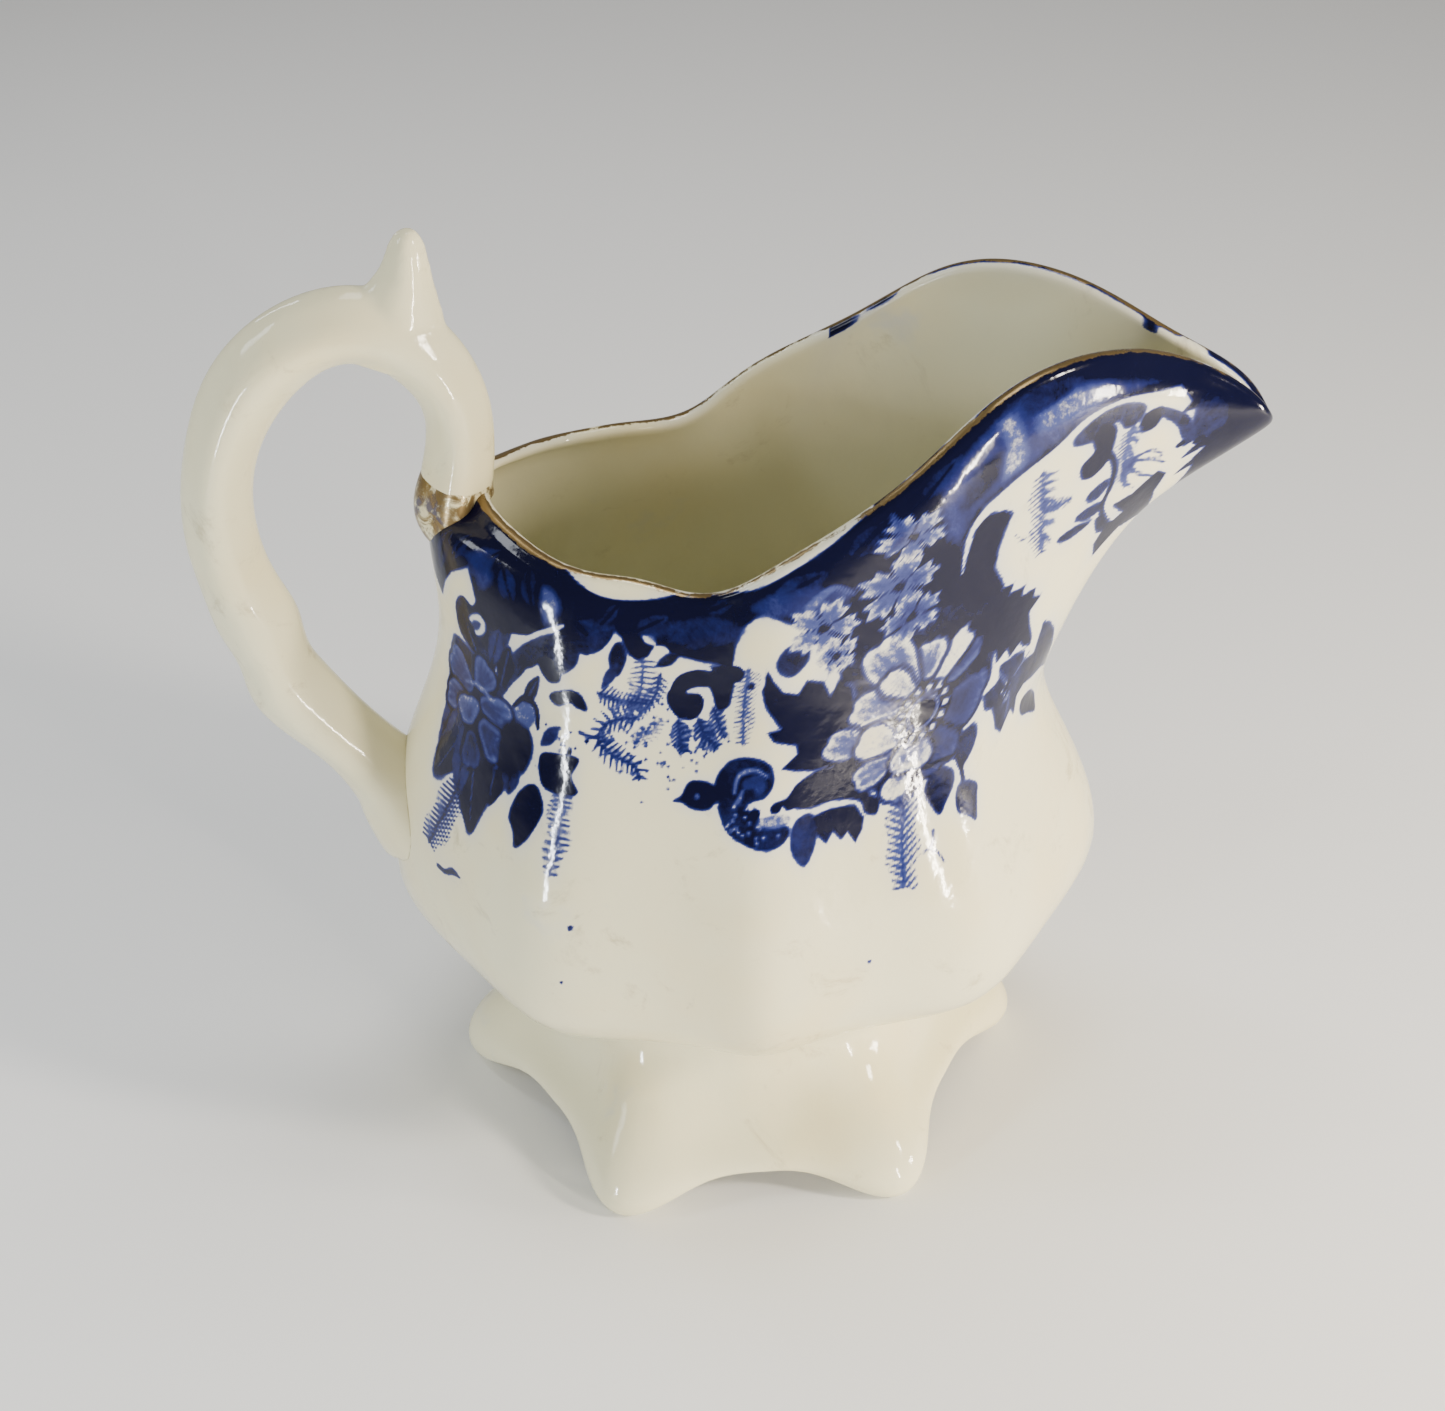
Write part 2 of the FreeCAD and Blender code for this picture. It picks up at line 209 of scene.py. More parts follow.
def sizes():
    return bpy.context.scene.jug_sizes


def colours():
    return bpy.context.scene.jug_colours


def rgba(value):
    return (*value, 1.0)


# ---- smooth surfaces over a net of points ------------------------------------------------------

def cubic_weights(share):
    """Uniform cubic weights of four neighbours, for each share of the way."""
    return np.stack([(1 - share) ** 3, 3 * share ** 3 - 6 * share ** 2 + 4,
                     -3 * share ** 3 + 3 * share ** 2 + 3 * share + 1, share ** 3], -1) / 6


def spanned(net, across, along):
    """Points of the smooth surface over a net that is closed across and free-ended along."""
    rows, columns, _ = net.shape
    padded = np.concatenate([2 * net[:1] - net[1:2], net, 2 * net[-1:] - net[-2:-1]])
    row = np.minimum(along.astype(int), rows - 2)
    weight = cubic_weights(along - row)
    lines = sum(weight[:, k, None, None] * padded[row + k] for k in range(4))
    column = across.astype(int)
    weight = cubic_weights(across - column)
    return sum(weight[None, :, k, None] * lines[:, (column - 1 + k) % columns] for k in range(4))


def even(columns, count):
    """Places evenly spread round a net of so many columns."""
    return np.arange(count) * columns / count


def grid_faces(rows, count, shut=True):
    """Quads of a closed band of points, and its two end caps."""
    index = np.arange(rows * count).reshape(rows, count)
    side = np.roll(index, -1, axis=1)
    quads = np.stack([index[:-1], side[:-1], side[1:], index[1:]], -1).reshape(-1, 4).tolist()
    if shut:
        quads += [index[0][::-1].tolist(), index[-1].tolist()]
    return quads


def ring_faces(rows, count):
    """Quads of a closed band whose last row runs back into its first."""
    last = (rows - 1) * count
    return grid_faces(rows, count, shut=False) + [
        [k, last + k, last + (k + 1) % count, (k + 1) % count] for k in range(count)]


def new_mesh(name, points, faces, smooth=True):
    """A mesh in metres from points in millimetres."""
    mesh = bpy.data.meshes.new(name)
    mesh.from_pydata((np.asarray(points).reshape(-1, 3) * MM).tolist(), [], faces)
    if smooth:
        mesh.polygons.foreach_set("use_smooth", [True] * len(mesh.polygons))
    mesh.update()
    return mesh


def place(mesh, name):
    """An object in the scene that holds the mesh."""
    piece = bpy.data.objects.new(name, mesh)
    bpy.context.scene.collection.objects.link(piece)
    return piece


def attribute(mesh, name, values):
    """Stores one number for each point."""
    layer = mesh.attributes.new(name, "FLOAT", "POINT")
    layer.data.foreach_set("value", np.asarray(values, dtype=np.float32).ravel())


# ---- the body's rows -----------------------------------------------------------------------------

def turns(columns):
    return 2 * np.pi * np.arange(columns) / columns


def oval(columns, reach, share, heights):
    """One row round the foot or its slip, longer than wide by a share."""
    turn = turns(columns)
    return np.stack([reach * (1 + share) * np.cos(turn), reach * (1 - share) * np.sin(turn),
                     heights + 0 * turn], -1)


def panelled_oval(height, front, back, half_width, ridge):
    """One row round the body: an oval whose ridges stand out between soft panels."""
    turn = turns(BODY_COLUMNS)
    angle = turn + RIDGE_SHIFT * np.sin(2 * turn)
    swell = 1 + ridge * (RIDGE_WAVE * np.cos(PANELS * turn)
                         + RIDGE_CREASE * np.cos(2 * PANELS * turn) - RIDGE_LEVEL)
    reach = np.where(np.cos(angle) > 0, front, back)
    return np.stack([reach * swell * np.cos(angle), half_width * swell * np.sin(angle),
                     np.full(BODY_COLUMNS, float(height))], -1)


def rim_line():
    half = np.array(RIM)
    return np.vstack([half, (half * [1, -1, 1])[-2:0:-1]])


def moved_out(row, amount, rise=0.0):
    """A row moved level and outwards; it never crosses the middle plane."""
    along = np.roll(row, -1, axis=0) - np.roll(row, 1, axis=0)
    out = np.stack([along[:, 1], -along[:, 0], 0 * along[:, 0]], -1)
    out /= np.linalg.norm(out, axis=1)[:, None]
    moved = row + out * amount + [0, 0, rise]
    if amount < 0:
        y, width = row[:, 1], abs(moved[:, 1])
        least = np.minimum(SPOUT_GROOVE, abs(y))
        width = np.maximum(np.where(width > abs(y), least, width), least)
        moved[:, 1] = np.where(abs(y) > ON_PLANE, np.sign(y) * width, moved[:, 1])
    return moved


def neck_rows():
    neck, rim, turn = panelled_oval(*BODY_ROWS[-1]), rim_line(), turns(BODY_COLUMNS)
    degrees = np.degrees(np.minimum(turn, 2 * np.pi - turn))
    angle = turn + RIDGE_SHIFT * np.sin(2 * turn)
    way = np.stack([SWELL_LENGTHWISE * np.cos(angle), np.sin(angle), 0 * angle], -1)
    way /= np.linalg.norm(way, axis=1)[:, None]
    return [neck * (1 - share) + rim * share
            + way * np.interp(degrees, SWELL_STATIONS, swells)[:, None]
            for share, swells in NECK_ROWS]


def outer_rows():
    return [panelled_oval(*row) for row in BODY_ROWS] + neck_rows()


def rim_rows(wall):
    return [moved_out(rim_line(), share * wall / 2, rise) for share, rise in RIM_ROLL]


def inner_rows(wall, rim_wall):
    rows = [moved_out(row, -rim_wall) for row in reversed(neck_rows())]
    for height, front, back, half_width, ridge in reversed(BODY_ROWS[3:]):
        rows.append(panelled_oval(height, front - wall, back - wall, half_width - wall, ridge))
    _, front, back, half_width, ridge = BODY_ROWS[3]
    for rise, share in FLOOR_ROWS:
        rows.append(panelled_oval(BODY_FLOOR + FLOOR + rise, front * share, back * share,
                                  half_width * share, ridge * share))
    return rows


# ---- shader expressions --------------------------------------------------------------------------

class Wire:
    """An output socket that takes part in expressions; numbers go straight in."""

    def __init__(self, shader, socket):
        self.shader, self.socket = shader, socket

    def maths(self, operation, *terms):
        return self.shader.node("ShaderNodeMath", {"operation": operation},
                                dict(enumerate(terms)))

    def __add__(self, other):
        return self.maths("ADD", self, other)

    def __mul__(self, other):
        return self.maths("MULTIPLY", self, other)

    def __sub__(self, other):
        return self.maths("SUBTRACT", self, other)

    def __rsub__(self, other):
        return self.maths("SUBTRACT", other, self)

    def __gt__(self, other):
        return self.maths("GREATER_THAN", self, other)

    __radd__, __rmul__ = __add__, __mul__

    def step(self, low, high):
        """0 below low, 1 above high, smooth between; high may be the lower one."""
        settings = {"interpolation_type": "SMOOTHSTEP", "clamp": True}
        return self.shader.node("ShaderNodeMapRange", settings,
                                {"Value": self, "From Min": low, "From Max": high})


class Shader:
    """One material and the nodes that make it."""

    def __init__(self, name):
        self.material = bpy.data.materials.new(name)
        self.material.use_nodes = True
        self.tree = self.material.node_tree
        self.tree.nodes.clear()

    def node(self, kind, settings=None, inputs=None, output=0):
        made = self.tree.nodes.new(kind)
        for key, value in (settings or {}).items():
            if key == "stops":
                self.fill_ramp(made.color_ramp, value)
            else:
                setattr(made, key, value)
        for key, value in (inputs or {}).items():
            if isinstance(value, Wire):
                self.tree.links.new(value.socket, made.inputs[key])
            else:
                made.inputs[key].default_value = value
        return Wire(self, made.outputs[output])

    @staticmethod
    def fill_ramp(ramp, stops):
        while len(ramp.elements) < len(stops):
            ramp.elements.new(0.5)
        for element, (at, value) in zip(ramp.elements, stops):
            element.position, element.color = at, rgba(value)

    def stored(self, name):
        return self.node("ShaderNodeAttribute", {"attribute_name": name}, output="Fac")

    def mm(self):
        """The point on the clay in millimetres."""
        spot = self.node("ShaderNodeTexCoord", output="Object")
        return self.node("ShaderNodeVectorMath", {"operation": "SCALE"},
                         {0: spot, "Scale": 1 / MM})

    def noise(self, spot, per_mm, detail=3.0, rough=0.5, twist=0.0):
        return self.node("ShaderNodeTexNoise", {}, {"Vector": spot, "Scale": per_mm,
                         "Detail": detail, "Roughness": rough, "Distortion": twist})

    def mix(self, share, first, second):
        """Two colours mixed."""
        settings = {"data_type": "RGBA", "blend_type": "MIX", "clamp_factor": True}
        return self.node("ShaderNodeMix", settings, {"Factor": share, 6: first, 7: second},
                         output=2)

    def ramp(self, value, stops):
        return self.node("ShaderNodeValToRGB", {"stops": stops}, {"Fac": value})

    def finish(self, inputs, bump=None):
        """The glossy surface; bump is (height, distance in metres, strength)."""
        if bump:
            height, depth, strength = bump
            inputs["Normal"] = self.node("ShaderNodeBump", {}, {"Height": height,
                                         "Distance": depth, "Strength": strength})
        surface = self.node("ShaderNodeBsdfPrincipled", {}, inputs)
        out = self.tree.nodes.new("ShaderNodeOutputMaterial")
        self.tree.links.new(surface.socket, out.inputs["Surface"])
        return self.material


# the glaze's sheen, roughness and unevenness
GLAZE_IOR, GLAZE_SHEEN = 1.5, 0.25
GLAZE_ROUGH, GLAZE_ROUGH_SPREAD, GILT_ROUGH = 0.05, 0.10, 0.18
BUMP_DEPTH, BUMP_STRENGTH = 0.9 * MM, 0.5
# firing specks: cells per mm, the lot above which a cell has one, outer and dark radius in cells
SPECKS_PER_MM, SPECK_LOT, SPECK_RADIUS, SPECK_CORE = 0.085, 0.62, 0.030, 0.014


def white_glaze_colour(shader, spot):
    """Glaze that yellows in soft clouds, with sparse dark firing specks."""
    tint = colours()
    clouds = shader.noise(spot, 0.045, 3.0, 0.55).step(0.42, 0.72)
    base = shader.mix(clouds * 0.55, rgba(tint.glaze), rgba(tint.glaze_warm))
    smudge = shader.noise(spot, 0.07, 4.0, 0.6).step(0.64, 0.80)
    base = shader.mix(smudge * 0.38, base, rgba(tint.halo))
    stain = shader.noise(spot, 0.11, 6.0, 0.72, 0.6).step(0.57, 0.74)
    base = shader.mix(stain * 0.6, base, rgba(tint.stain))
    reach, lot = (shader.node("ShaderNodeTexVoronoi", {"feature": "F1"},
                              {"Vector": spot, "Scale": SPECKS_PER_MM}, output=output)
                  for output in ("Distance", "Color"))
    chosen = shader.node("ShaderNodeSeparateColor", {}, {"Color": lot}) > SPECK_LOT
    return shader.mix(reach.step(SPECK_RADIUS, SPECK_CORE) * chosen, base, rgba(tint.speck))


def glossy(shader, spot, base, gold=None, metal=0.0, smoothest=GLAZE_ROUGH):
    """The fired surface: uneven clay, a faint ripple of glaze, duller and metallic where gilt."""
    rough = shader.noise(spot, 0.25, 3.0, 0.6) * GLAZE_ROUGH_SPREAD + smoothest
    looks = {"Base Color": base, "Roughness": rough, "IOR": GLAZE_IOR,
             "Specular IOR Level": GLAZE_SHEEN}
    if gold:
        looks.update({"Roughness": rough + gold * GILT_ROUGH, "Metallic": gold * metal})
    uneven = shader.noise(spot, 0.09, 2.0, 0.4) + shader.noise(spot, 0.55, 2.0, 0.5) * 0.10
    return shader.finish(looks, bump=(uneven, BUMP_DEPTH, BUMP_STRENGTH))


def white_glaze():
    """Plain glaze of the foot, the handle and the slip."""
    shader = Shader("white_glaze")
    spot = shader.mm()
    return glossy(shader, spot, white_glaze_colour(shader, spot))


def printed_glaze():
    """White glaze with the blue print under it and worn gilding over it."""
    tint = colours()
    shader = Shader("printed_glaze")
    spot = shader.mm()
    # painted light and shade inside: the glaze turns towards the inner colour with depth below the rim
    white = shader.mix(shader.stored("inside") * 0.9, white_glaze_colour(shader, spot),
                       rgba(tint.inner))
    fine = shader.noise(spot, 1.5, 4.0, 0.65)
    mottle = shader.noise(spot, 0.30, 6.0, 0.68, 0.5)
    ink = shader.stored("ink")
    density = ink + (fine - 0.5) * 0.30 * ink + (mottle - 0.5) * 0.9 * ink
    pigment = shader.ramp(density, [(0.0, tint.halo), (0.25, tint.ink_pale),
                                    (0.58, tint.ink_mid), (0.86, tint.ink_dark)])
    flow = shader.stored("flow")
    tinted = shader.mix(flow * 0.7, white, rgba(tint.halo))
    edge = ink + (fine - 0.5) * 0.55 + (mottle - 0.5) * 0.25
    printed = shader.mix((edge * (ink > 0.02)).step(0.10, 0.40), tinted, pigment)
    wear = shader.noise(spot, 0.5, 5.0, 0.7)
    gold = (shader.stored("gilt") + (wear - 0.5) * 1.5).step(0.42, 0.62)
    base = shader.mix(gold, printed, rgba(tint.gilt))
    return glossy(shader, spot, base, gold, metal=0.6)


def worn_gilt():
    """White glaze whose gilding is rubbed to an olive brown, over a smear of blue."""
    tint = colours()
    shader = Shader("worn_gilt")
    spot = shader.mm()
    white = white_glaze_colour(shader, spot)
    smear = shader.noise(spot, 0.35, 4.0, 0.6).step(0.50, 0.62)
    under = shader.mix(smear * 0.9, white, rgba(tint.ink_mid))
    wear = shader.noise(spot, 0.42, 6.0, 0.7, 0.8).step(0.40, 0.54)
    base = shader.mix(wear * 0.9 + 0.1, under, rgba(tint.gilt))
    return glossy(shader, spot, base, wear, metal=0.45, smoothest=0.08)


def floor_paint():
    """Matt pale paint, faintly clouded."""
    tint = colours()
    shader = Shader("studio_floor")
    cloud = shader.noise(shader.mm(), 0.01, 2.0)
    shade = shader.mix(cloud * 0.06, rgba(tint.floor), rgba(tint.floor_cloud))
    return shader.finish({"Base Color": shade, "Roughness": 0.85})


# ---- the print -------------------------------------------------------------------------------------

# print tones run from bare glaze to the darkest blue
BARE, SOFT, MID, DEEP, DARK = 0.0, 0.4, 0.6, 0.8, 1.0
STAR_PETALS = 5
PETAL_RIBS, RIB_DEPTH, OUTLINE_WIDTH, OUTLINE_TONE = 26, 0.16, 0.5, 0.9


def curve(points, shut=True, per=6):
    """A smooth line through a few points."""
    line = np.array(points, dtype=float)
    if shut:
        before, after, last = (np.roll(line, shift, axis=0) for shift in (1, -1, -2))
    else:
        padded = np.vstack([line[:1], line, line[-1:]])
        before, line, after, last = padded[:-3], padded[1:-2], padded[2:-1], padded[3:]
    t = np.arange(per)[None, :, None] / per
    a, b, c, d = (part[:, None, :] for part in (before, line, after, last))
    run = 0.5 * (2 * b + (c - a) * t + (2 * a - 5 * b + 4 * c - d) * t ** 2
                 + (3 * b - a - 3 * c + d) * t ** 3)
    run = run.reshape(-1, 2)
    return run if shut else np.vstack([run, after[-1:]])


def soft(distance, edge=0.3):
    """1 inside a shape and 0 outside, for a distance that is positive inside."""
    share = np.clip((distance + edge) / (2 * edge), 0, 1)
    return share * share * (3 - 2 * share)


class Print:
    """Ink on the wall. u runs round the girth from the flank's ridge to the spout, v up the wall."""

    def __init__(self, u, v):
        self.u, self.v, self.ink = u, v, np.zeros_like(u)

    def lay(self, spots, mask, tone):
        """Prints a tone where the mask is 1."""
        self.ink[spots] = self.ink[spots] * (1 - mask) + tone * mask

    def near(self, line, margin):
        low, high = np.min(line, axis=0) - margin, np.max(line, axis=0) + margin
        return np.nonzero((self.u > low[0]) & (self.u < high[0])
                          & (self.v > low[1]) & (self.v < high[1]))[0]

    def segments(self, tone, starts, ends, first, last):
        """Straight strokes that narrow from one width to another."""
        starts, ends = np.array(starts, dtype=float), np.array(ends, dtype=float)
        first, last = np.broadcast_to(first, len(starts)), np.broadcast_to(last, len(starts))
        spots = self.near(np.vstack([starts, ends]), 1 + max(first.max(), last.max()) / 2)
        depth = np.full(len(spots), -9.0)
        for a, b, wide, narrow in zip(starts, ends, first, last):
            du, dv = self.u[spots] - a[0], self.v[spots] - a[1]
            way = b - a
            share = np.clip((du * way[0] + dv * way[1]) / max(way @ way, 1e-6), 0, 1)
            away = np.hypot(du - share * way[0], dv - share * way[1])
            depth = np.maximum(depth, (wide + (narrow - wide) * share) / 2 - away)
        self.lay(spots, soft(depth, 0.22), tone)

    def stroke(self, tone, widths, *points):
        """A brush line through a few points, with its width at even steps along it."""
        line = curve(points, shut=False)
        width = np.interp(np.linspace(0, 1, len(line)), np.linspace(0, 1, len(widths)), widths)
        self.segments(tone, line[:-1], line[1:], width[:-1], width[1:])

    def depth_in(self, spots, line):
        """How far inside an outline each spot is; negative outside."""
        u, v = self.u[spots], self.v[spots]
        away, crossings = np.full(len(spots), 99.0), np.zeros(len(spots), dtype=bool)
        for a, b in zip(line, np.roll(line, -1, axis=0)):
            way = b - a
            share = np.clip(((u - a[0]) * way[0] + (v - a[1]) * way[1])
                            / max(way @ way, 1e-6), 0, 1)
            away = np.minimum(away, np.hypot(u - a[0] - share * way[0], v - a[1] - share * way[1]))
            if a[1] != b[1]:
                crossings ^= ((a[1] > v) != (b[1] > v)) \
                    & (u < a[0] + (v - a[1]) * way[0] / way[1])
        return np.where(crossings, away, -away)

    def patch(self, tone, *points, crisp=False, edge=0.3):
        """A flat shape with a smooth or a toothed outline."""
        line = np.array(points, dtype=float) if crisp else curve(points)
        spots = self.near(line, 1.0)
        self.lay(spots, soft(self.depth_in(spots, line), edge), tone)

    def petal(self, base, tip, width, rim, core):
        """A petal with a pale rim, ribs and a dark line round it."""
        base, tip = np.array(base, dtype=float), np.array(tip, dtype=float)
        way = tip - base
        side = np.array([-way[1], way[0]]) / np.hypot(*way) * width / 2
        profile = [(0.0, 0.35), (0.3, 0.72), (0.62, 1.0), (0.88, 0.85), (1.0, 0.4), (0.96, 0.0),
                   (1.0, -0.4), (0.88, -0.85), (0.62, -1.0), (0.3, -0.72), (0.0, -0.35)]
        line = curve([base + way * t + side * s for t, s in profile], per=4)
        spots = self.near(line, 1.5)
        depth = self.depth_in(spots, line)
        self.lay(spots, soft(depth + OUTLINE_WIDTH), OUTLINE_TONE)
        du, dv = self.u[spots] - base[0], self.v[spots] - base[1]
        along = np.clip((du * way[0] + dv * way[1]) / (way @ way), 0, 1)
        ribs = RIB_DEPTH * np.sin(np.arctan2(dv, du) * PETAL_RIBS + base[0])
        shade = np.clip(depth / (0.22 * width), 0, 1) * (1.12 - 0.75 * along) + ribs * along
        self.lay(spots, soft(depth), np.clip(rim + (core - rim) * shade, 0, 1))

    def leaf(self, tone, base, tip, width, rib=None):
        """A pointed leaf, with a midrib if it has a tone of its own."""
        base, tip = np.array(base, dtype=float), np.array(tip, dtype=float)
        way = tip - base
        side = np.array([-way[1], way[0]]) / np.hypot(*way) * width / 2
        half = [(0.0, 0.1), (0.25, 0.8), (0.55, 1.0), (0.82, 0.55)]
        profile = half + [(1.0, 0.0)] + [(t, -w) for t, w in reversed(half)]
        self.patch(tone, *[base + way * t + side * w for t, w in profile])
        if rib is not None:
            self.stroke(rib, (0.35, 0.3, 0.2), base, base + way * 0.45, base + way * 0.85)

    def stipple(self, tone, centre, radius, count):
        """Small dots scattered round a place."""
        spread = np.random.default_rng(count).normal(0, radius / 2, (count, 2))
        self.dots(tone, 0.42, *(np.array(centre) + spread))

    def fern(self, barb, *points, tone, count, lean=1.0):
        """A stem with paired barbs."""
        line = curve(points, shut=False, per=10)
        steps = np.concatenate([[0], np.cumsum(np.hypot(*np.diff(line, axis=0).T))])
        starts, ends = [*line[:-1]], [*line[1:]]
        count = round(count * 1.5)
        for k in range(count):
            at = (k + 0.5) / count
            spot = np.array([np.interp(at * steps[-1], steps, line[:, i]) for i in (0, 1)])
            ahead = np.array([np.interp(at * steps[-1] + 0.3, steps, line[:, i]) for i in (0, 1)])
            way = (ahead - spot) / max(np.hypot(*(ahead - spot)), 1e-6)
            reach = barb * (0.55 + 0.45 * math.sin(math.pi * (0.25 + 0.7 * at)))
            for side in (1, -1):
                out = way * 0.45 * lean + np.array([-way[1], way[0]]) * side
                starts.append(spot)
                ends.append(spot + out * reach * (1 + 0.15 * math.sin(7 * k + side)))
        stem = len(line) - 1
        first = [0.45] * stem + [0.5] * (2 * count)
        self.segments(tone, starts, ends, first, [0.45] * stem + [0.2] * (2 * count))

    def star(self, centre, radius, turn, tone, squash):
        """A small open flower of notched petals."""
        spots = self.near(np.array([centre]), radius + 1)
        du, dv = self.u[spots] - centre[0], (self.v[spots] - centre[1]) / squash
        angle, reach = np.arctan2(dv, du) - turn, np.hypot(du, dv)
        lobe = np.abs(np.cos(angle * STAR_PETALS / 2))
        notch = 0.10 * np.cos(angle * STAR_PETALS * 3)
        depth = radius * (0.52 + 0.48 * lobe ** 0.6 + notch) - reach
        shade = tone * (0.35 + 0.65 * np.clip(depth / (0.45 * radius), 0, 1))
        shade = np.where(lobe < 0.16, np.maximum(shade, 0.75), shade)
        shade = np.where(reach < 0.16 * radius, 0.9, shade)
        self.lay(spots, soft(depth, 0.25), shade)

    def beads(self, centre, radius, count, squash):
        """A flower's eye: a dark core, a pale line and a ring of beads."""
        spots = self.near(np.array([centre]), radius * squash + 1)
        du, dv = self.u[spots] - centre[0], (self.v[spots] - centre[1]) / squash
        angle, reach = np.arctan2(dv, du), np.hypot(du, dv)
        self.lay(spots, soft(radius - reach), DARK)
        self.lay(spots, soft(0.06 * radius - abs(reach - 0.52 * radius), 0.2), 0.3)
        off = (angle * count / (2 * math.pi)) % 1 - 0.5
        across, along = off * 2 * math.pi / count * reach, reach - 0.80 * radius
        bead = 1 - np.hypot(across / (0.12 * radius), along / (0.13 * radius))
        self.lay(spots, soft(bead, 0.35), 0.1)

    def dots(self, tone, size, *points):
        points = np.array(points, dtype=float)
        self.segments(tone, points, points + 0.01, size, size)


def print_border(work):
    """The dark band and foliage under the rim, from the handle to the tip of the spout."""
    work.patch(1.08, (-58, 62), (-58, 50), (-55, 44), (-52, 42), (-50.5, 44.5), (-48.5, 46.6),
               (-45, 48.6), (-42.8, 44), (-38, 42.8), (-33, 44.4), (-30, 45.2), (-27, 43.9),
               (-24.6, 43.6), (-22.6, 45.4), (-21.4, 47), (-19.8, 46), (-18.4, 43.8),
               (-16, 43.8), (-15, 45.2), (-13, 44.4), (-9, 43.7), (-5, 43.4), (-4.8, 48),
               (-2.4, 50.6),
               (0.4, 49.4), (2.5, 47), (5, 44), (6, 41), (12, 40), (20, 42), (22, 44),
               (22.4, 50), (19.8, 53), (19, 56), (18.5, 60.4), (16, 61), (14.4, 60),
               (14.6, 62), (17, 65), (20.6, 68.4), (22.6, 71.4), (26, 73), (30, 73),
               (33, 73.2), (35.4, 71), (37.4, 69.4), (38, 67), (41, 66.6), (41.6, 64.2),
               (43.4, 63.6), (43.6, 61.6), (46, 59.6), (49, 56.4), (53, 53.4), (56, 51),
               (62, 48), (64, 72), (52, 76), (40, 80), (22, 84), (6, 80),
               (-4, 64), crisp=True, edge=0.5)
    work.patch(DEEP, (-28, 46.6), (-24, 48.2), (-21, 47.6), (-21.4, 45.6), (-23, 44), (-25.4, 43.5),
               (-27, 45))
    work.patch(DEEP, (-21.4, 43), (-20.8, 45), (-19.6, 45.2), (-18.8, 43.4), (-19.9, 41))
    work.patch(0.9, (-19.5, 45.6), (-19, 48), (-15, 48), (-15.6, 45), (-16, 43.8), (-17.6, 43.3))
    work.patch(BARE, (-17, 46.5), (-16.4, 45.4), (-14.9, 45.2), (-15.3, 46.6), (-16.4, 47))
    work.dots(BARE, 2.3, (-14.1, 44.1))
    work.patch(SOFT, (-33, 50), (-31.8, 46), (-30, 46.4), (-29.4, 48.6), (-31, 50.2), edge=0.9)
    for base, tip, width in (((-50, 52), (-51.6, 45.6), 3.0), ((-46.6, 52.6), (-48.6, 48), 2.4),
                             ((-41, 52), (-44.6, 47.6), 2.6), ((-39.6, 50.4), (-36.4, 46.2), 3.0),
                             ((-36, 51.6), (-33.4, 47), 2.6), ((-27, 47.4), (-23.2, 44.6), 2.8),
                             ((-23, 47.4), (-20.6, 50), 2.0), ((-18, 46.6), (-13.6, 48.6), 2.2),
                             ((-11.6, 45.2), (-7.4, 47.6), 2.6), ((-8.6, 49.6), (-5, 51.6), 1.8),
                             ((-1.4, 52.2), (2.2, 56), 2.6), ((3.4, 57), (5.4, 62.4), 2.4),
                             ((7.6, 63.6), (9.6, 69), 2.6), ((12.2, 57), (13.4, 62.6), 2.4)):
        work.leaf(0.76, base, tip, width, rib=1.05)
    work.patch(0.72, (-16, 46.6), (-12, 48.6), (-5, 49.4), (-4.8, 46.4), (-9, 45.6), (-13, 45.2),
               edge=0.9)
    work.patch(MID, (-46.5, 49.8), (-43, 51.6), (-40.5, 48.8), (-42, 46.2), (-45, 48.6), edge=1.0)
    work.patch(MID, (-3.8, 50.6), (-1, 53.4), (4, 53.6), (3.2, 50.6), (0.6, 50.2), edge=0.7)


